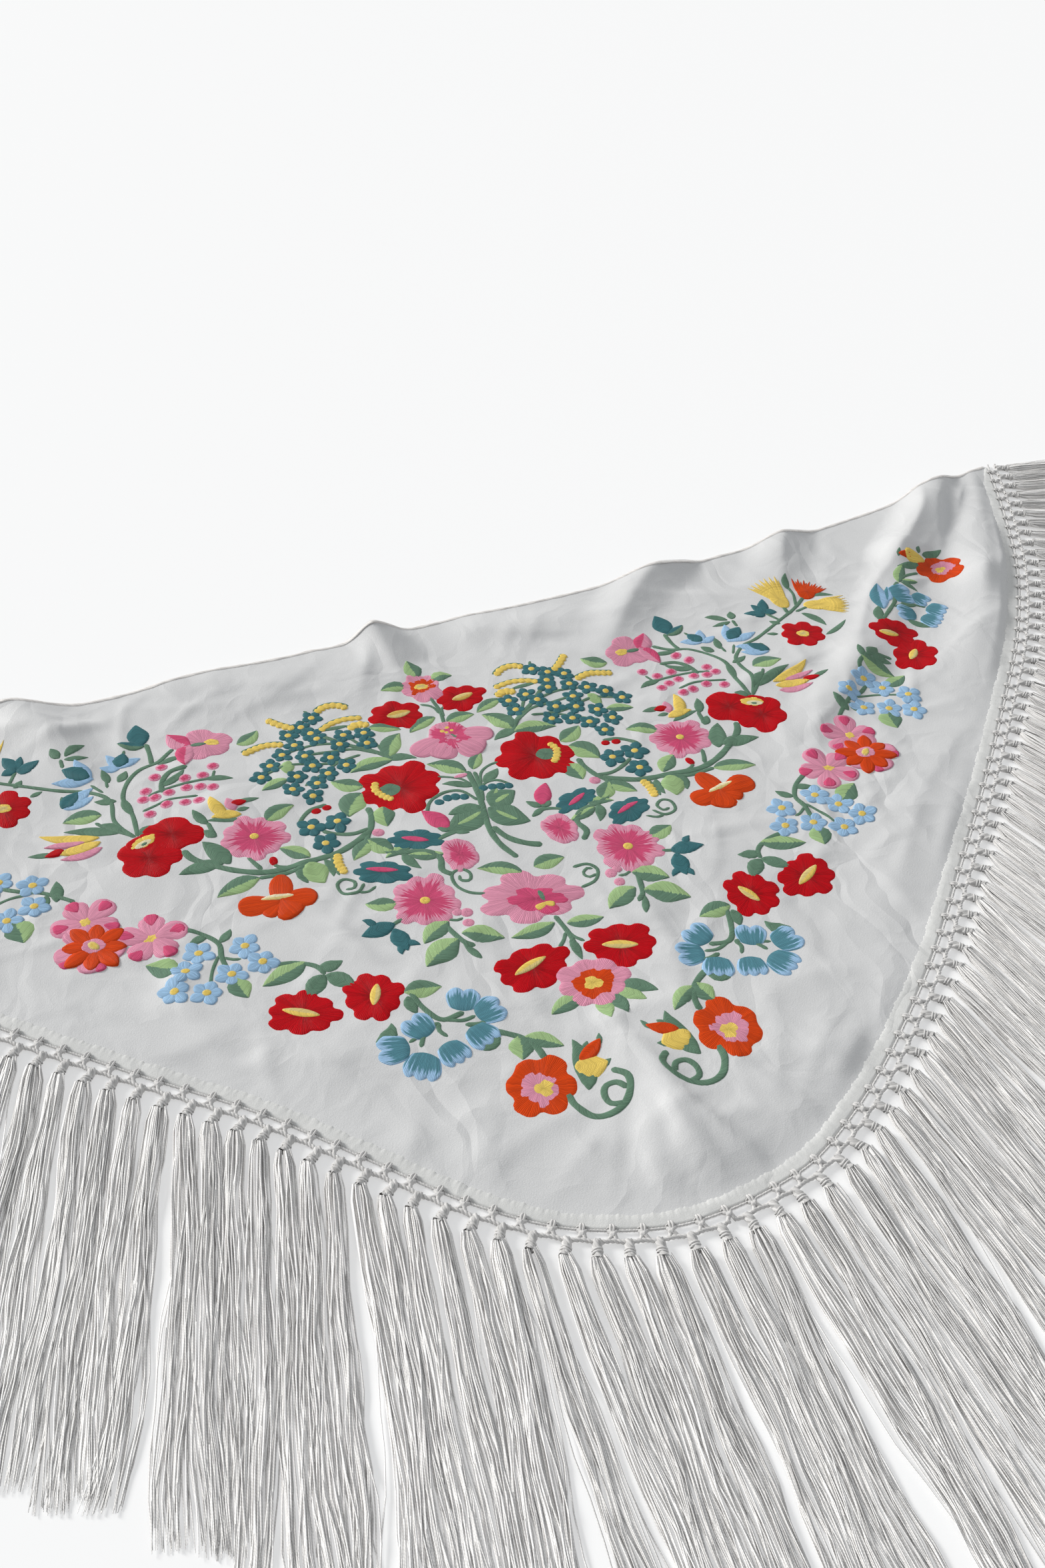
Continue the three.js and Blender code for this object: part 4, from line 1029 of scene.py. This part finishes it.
def header_cords(stack, first, last):
    """The thin cord along the cloth's edge and the twisted lower cord that the tassels hang from."""
    gap = 0.0008
    share = np.linspace(first / TASSELS + gap, last / TASSELS - gap, int((last - first) * PITCH / 1.15))
    p, _, out = leg_sides(share)
    d = share * legs.length
    pull = 0.45 * np.cos(2 * np.pi * (d / PITCH - 0.5))
    for twist, place, swing, high, rise, radius, sides in (
        (3.4, 0.95, 0.3, 1.5, 0.3, 0.55, 4),
        (4.6, 6.9 + pull, 0.5, 1.8, 0.55, 0.88, 5),
    ):
        for phase in (0, np.pi):
            turn = 2 * np.pi * d / twist + phase
            xy = p + out * (place + swing * np.sin(turn))[:, None]
            tube(stack, np.column_stack([xy, high + rise * np.cos(turn)]), radius, sides, CORD_TONE)


def spotter(share):
    """A place beside the legs: along them, outward from the edge, and up."""
    (q,), (run,), (o,) = leg_sides(np.array([share]))
    return lambda along, off, z: np.array([*(q + run * along + o * off), z])


def edge_knot(stack, index):
    """The yarn that comes through its needle hole in the hem, is knotted, and spreads to the lower cord."""
    spot = spotter(index / TASSELS + rng.uniform(-0.5, 0.5) / legs.length)
    cord = lambda points, *look: tube(stack, spline([spot(*v) for v in points], 2), *look)
    tilt, turn = rng.uniform(-0.6, 0.6, 2)
    # A dark patch over each needle hole: painted shade in the hole.
    hole = np.array([[spot(0.8 * m, -0.6, 2.0), spot(0.4 * m, -2.1, 2.05)] for m in (-1, 1)])
    stack.add(hole, np.zeros((2, 2, 2)), linear(HOLE_SHADE_COLOUR))
    whip = [(-2.6, 0.2 * turn, 1.8), (-1.0, -0.6, 2.4), (1.0, -0.5 - 0.3 * turn, 2.5), (2.6, 0.1, 1.8)]
    cord(whip, 0.4, 4, WHIP_TONE)
    for m in (-1, 1):
        over = [
            (0.4 * m, -2.0, 2.0), (0.8 * m + 0.3 * turn, -0.6, 2.7),
            (0.75 * m, 0.9, 2.6), (0.4 * m, 2.2, 2.2),
        ]
        cord(over, 0.72, 5, CORD_TONE)
        cross = [
            (-2.0 * m, 1.3, 1.7), (-0.8 * m + tilt, 2.5, 2.3), (0.8 * m + tilt, 4.2, 2.2 + 0.3 * m),
            (1.9 * m, 6.0, 1.8), (3.4 * m, 7.0, 1.6),
        ]
        cord(cross, 1.08, 5, CORD_TONE)
    k = np.linspace(-1, 1, 7)
    knot = np.array([spot(1.9 * v + tilt, 3.3 + 0.6 * v * turn, 2.0) for v in k])
    tube(stack, knot, 1.85, 6, KNOT_TONE, np.sqrt(np.maximum(1 - k**2, 0.01)) * (1 + 0.14 * np.sin(k * 7)))


def neck(stack, index):
    """A tassel's neck: its yarns looped over the lower cord, twisted, and wrapped."""
    spot = spotter((index + 0.5) / TASSELS)
    sway, twist, slip = rng.uniform(-1, 1, 3)
    long = NECK_LENGTH + 1.2
    v = np.linspace(0, 1, 10)
    middle = np.array([[1.5 * sway * math.sin(3.1 * t) * (1 - t), HEADER_OUT - 1.4 + long * t] for t in v])
    wide = np.interp(v, [0, 0.12, 0.3, 0.5, 0.66, 0.8, 1], [0.5, 0.85, 0.95, 0.9, 0.82, 0.92, 1.2])
    # The neck's core is darker than the strands over it: painted shade between them.
    tube(stack, np.array([spot(a, o, 2.2) for a, o in middle]), 2.3, 6, CORE_SHADE_TONE, wide)
    for phase in (0, 2.1, 4.2):
        turn = phase + twist * 2 + v * (5.2 + slip)
        c = [
            spot(a + 1.65 * w * math.sin(t), o, 2.3 + 1.25 * w * math.cos(t))
            for (a, o), w, t in zip(middle, wide, turn)
        ]
        tube(stack, c, 1.15, 5, CORD_TONE + 0.04 * sway, 0.6 + 0.4 * wide)
    for at in (0.58, 0.72):
        a, o = (np.interp(at + 0.03 * slip, v, middle[:, k]) for k in (0, 1))
        t = np.linspace(-0.35, np.pi + 0.35, 7)
        c = [spot(a + 2.4 * math.cos(q), o + 0.8 * twist * math.cos(q), 2.2 + 2.0 * math.sin(q)) for q in t]
        tube(stack, c, 0.6, 4, WRAP_TONE)


def lean(index):
    """How far a tassel's end is drawn aside by the clump it lies in."""
    after, width = np.array(CLUMP_GAPS).T
    k = np.searchsorted(after, index)
    share = (index - after[k - 1] - 0.5) / (after[k] - after[k - 1])
    return (width[k - 1] * (1 - share) - width[k] * share) / 2


def tassel_length(index):
    return FRINGE_LENGTH * (1 + 0.03 * np.sin(index * 1.9) + 0.02 * np.sin(index * 0.67))


def yarn_paths(index, k):
    """Centres (yarn, ring, 3) of the yarns of tassels index, their lengths and their locks' phases."""
    count = len(index)
    wave = lambda turns, phase: np.sin(2 * np.pi * k * turns + phase)
    draw = lambda spread: rng.normal(0, spread, (count, 1))
    phase = lambda: rng.uniform(0, 2 * np.pi, (count, 1))
    chance = lambda: rng.random((count, 1))
    q, _, out = leg_sides((index + 0.5) / TASSELS)
    angle = np.radians(np.interp((index + 0.5) / TASSELS, *HANG_TABLE.T))
    hang = np.stack([np.sin(angle), -np.cos(angle)], -1)
    across = left_of(hang)
    room = PITCH * (out * hang).sum(-1)[:, None]
    start = q + out * (HEADER_OUT + NECK_LENGTH - 0.6)
    lock = rng.integers(0, 7, count)
    lock_phase = (index * 5.1 + lock * 2.2)[:, None]
    own = np.clip((lock - 3)[:, None] * 0.3 + draw(0.15) + 0.1 * np.sin(lock_phase * 1.7), -1.1, 1.1)
    stray = chance() < 0.08
    deep = chance() ** 0.55
    half, high = (np.interp(k, LOCK_TABLE[:, 0], LOCK_TABLE[:, v]) for v in (1, 2))
    short = np.abs(draw(0.022)) + (chance() < 0.05) * rng.uniform(0, 0.14, (count, 1))
    length = tassel_length(index)[:, None] * (0.985 - short)
    bend = (wave(1.4, phase()) + 0.4 * wave(3.7, phase())) * np.minimum(1, k * 6)
    curl = (1.5 * wave(1.1, lock_phase) + 0.7 * wave(2.9, lock_phase * 3)) * np.minimum(1, k * 4)
    curl *= 0.5 + 0.6 * k
    along = leg_sides((index + 1) / TASSELS)[0] - q
    apart = (index[:, None] + 0.5 - PARTINGS) * np.sign((along * across).sum(-1))[:, None]
    part = (np.sign(apart) * 8 * np.exp(-(np.abs(apart) - 0.5) / 2)).sum(-1)[:, None] * k**1.1
    swing = part + 3 * wave(0.8, index[:, None] * 1.7) * k
    aside = own * room * half + lean(index)[:, None] * k**1.4 + bend * (0.5 + 0.8 * chance()) + curl + swing
    aside += stray * draw(8) * k**1.3
    xy = start[:, None] + hang[:, None] * (length * k)[..., None] + across[:, None] * aside[..., None]
    z = 0.45 + (high - 0.5) * deep * np.sqrt(np.clip(1 - (own * 0.8) ** 2, 0.1, 1))
    z = np.maximum(z + 0.3 * np.sin(k * 15 + lock_phase + deep * 7), 0.4)
    z[:, 0] = 0.9 + 3.2 * deep[:, 0]
    return np.dstack([xy, z]), length, lock_phase


def yarns(stack, first, last):
    index = np.repeat(np.arange(first, last), YARNS_EACH)
    count = len(index)
    k = np.linspace(0, 1, YARN_RINGS)[None] ** 1.25
    c, length, lock_phase = yarn_paths(index, k)
    step = np.gradient(c, axis=1)
    step /= np.linalg.norm(step, axis=2, keepdims=True)
    flat = np.dstack([left_of(step), 0 * step[..., 0]])
    a = np.radians([30, 150, 270])
    sides = len(a)
    r = YARN_RADIUS * np.interp(k, [0, 0.93, 1], [1, 1, 0.45])[..., None, None]
    p = c[:, :, None] + r * (np.cos(a)[:, None] * flat[:, :, None] + np.sin(a)[:, None] * np.array([0, 0, 1]))
    p[..., 2] = np.maximum(p[..., 2], LOWEST)
    faces = grid_faces(YARN_RINGS, sides, True)
    faces = (faces[None] + (np.arange(count) * YARN_RINGS * sides)[:, None, None]).reshape(-1, 4)
    tone = (0.88 + 0.2 * rng.random(count)) * (0.98 + 0.03 * np.sin(lock_phase[:, 0] * 3))
    tone *= np.where(rng.random(count) < 0.12, 0.84, 1)
    colour = linear(YARN_COLOUR)[None] * tone[:, None] ** 1.5
    colour = np.broadcast_to(colour[:, None, None], p.shape)
    run_mm = (length * k + 9 * rng.uniform(0, 2 * np.pi, (count, 1)))[..., None] + np.arange(sides) * 0.9
    uv = together(run_mm, np.arange(sides) * 0.4)
    stack.put(p, faces, uv, colour, colour, np.zeros((*run_mm.shape, 1)))


fringe = []
MIDDLE = TASSELS // 2
for side, first, last, parts in (
    ("left", 0, MIDDLE, ("outer", "inner")),
    ("right", MIDDLE, TASSELS, ("inner", "outer")),
):
    knots = Stack()
    header_cords(knots, first, last)
    for index in range(first, last):
        neck(knots, index)
        if index:
            edge_knot(knots, index)
    fringe.append(knots.mesh("knotted_header_" + side, YARN))
    halfway = (first + last) // 2
    for part, start, stop in zip(parts, (first, halfway), (halfway, last)):
        threads = Stack()
        yarns(threads, start, stop)
        fringe.append(threads.mesh(f"fringe_yarns_{side}_{part}", YARN))
    for piece in fringe[-3:]:
        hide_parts("fringe_" + side)

# Floor, light and camera.
FLOOR_SIZE = 9  # in metres
bpy.ops.mesh.primitive_plane_add(size=FLOOR_SIZE, location=(0, 0, 0))
floor = bpy.context.object
floor.name = "floor"
floor_look = Nodes("pale_floor")
floor_look.set(Base_Color=grey(0.55), Roughness=0.8, Specular_IOR_Level=0.1)
floor_look.set(Emission_Color=grey(1), Emission_Strength=0.4)
floor.data.materials.append(floor_look.material)

world = bpy.data.worlds.new("studio")
bpy.context.scene.world = world
world.use_nodes = True
sky_colour, sky_strength = world.node_tree.nodes["Background"].inputs[:2]
sky_colour.default_value = (0.95, 0.975, 1, 1)
sky_strength.default_value = 0.43


def sun(name, place, strength, degrees, colour):
    data = bpy.data.lights.new(name, "SUN")
    data.energy, data.angle, data.color = strength, math.radians(degrees), colour
    placed(name, data).rotation_euler = Vector(place).to_track_quat("Z", "Y").to_euler()


sun("window", (-0.75, 0.85, 0.5), 3.7, 18, (1, 0.99, 0.97))
sun("fill", (0.6, -0.5, 1.2), 0.35, 60, (0.95, 0.98, 1))

CAMERA_PLACE = (-0.2838, -0.6150, 0.650)  # in metres
PITCH_DOWN, ROLL_ANGLE, HEADING = (math.radians(v) for v in (40.803, 3.150, 24.439))
FOCAL_PIXELS, PHOTO_HEIGHT, SENSOR = 2400, 2353, 36
right = Vector((math.cos(HEADING), -math.sin(HEADING), 0))
ahead = Vector((math.sin(HEADING), math.cos(HEADING), 0))
forward = ahead * math.cos(PITCH_DOWN) - Vector((0, 0, math.sin(PITCH_DOWN)))
upward = ahead * math.sin(PITCH_DOWN) + Vector((0, 0, math.cos(PITCH_DOWN)))
cam_x = right * math.cos(ROLL_ANGLE) + upward * math.sin(ROLL_ANGLE)
cam_y = -right * math.sin(ROLL_ANGLE) + upward * math.cos(ROLL_ANGLE)
camera = placed("camera", bpy.data.cameras.new("camera"))
turned = Matrix((cam_x, cam_y, -forward)).transposed().to_4x4()
camera.matrix_world = Matrix.Translation(CAMERA_PLACE) @ turned
camera.data.lens = FOCAL_PIXELS / PHOTO_HEIGHT * SENSOR
camera.data.clip_start, camera.data.clip_end = 0.02, 30
bpy.context.scene.camera = camera
bpy.context.scene.view_settings.view_transform = "Standard"
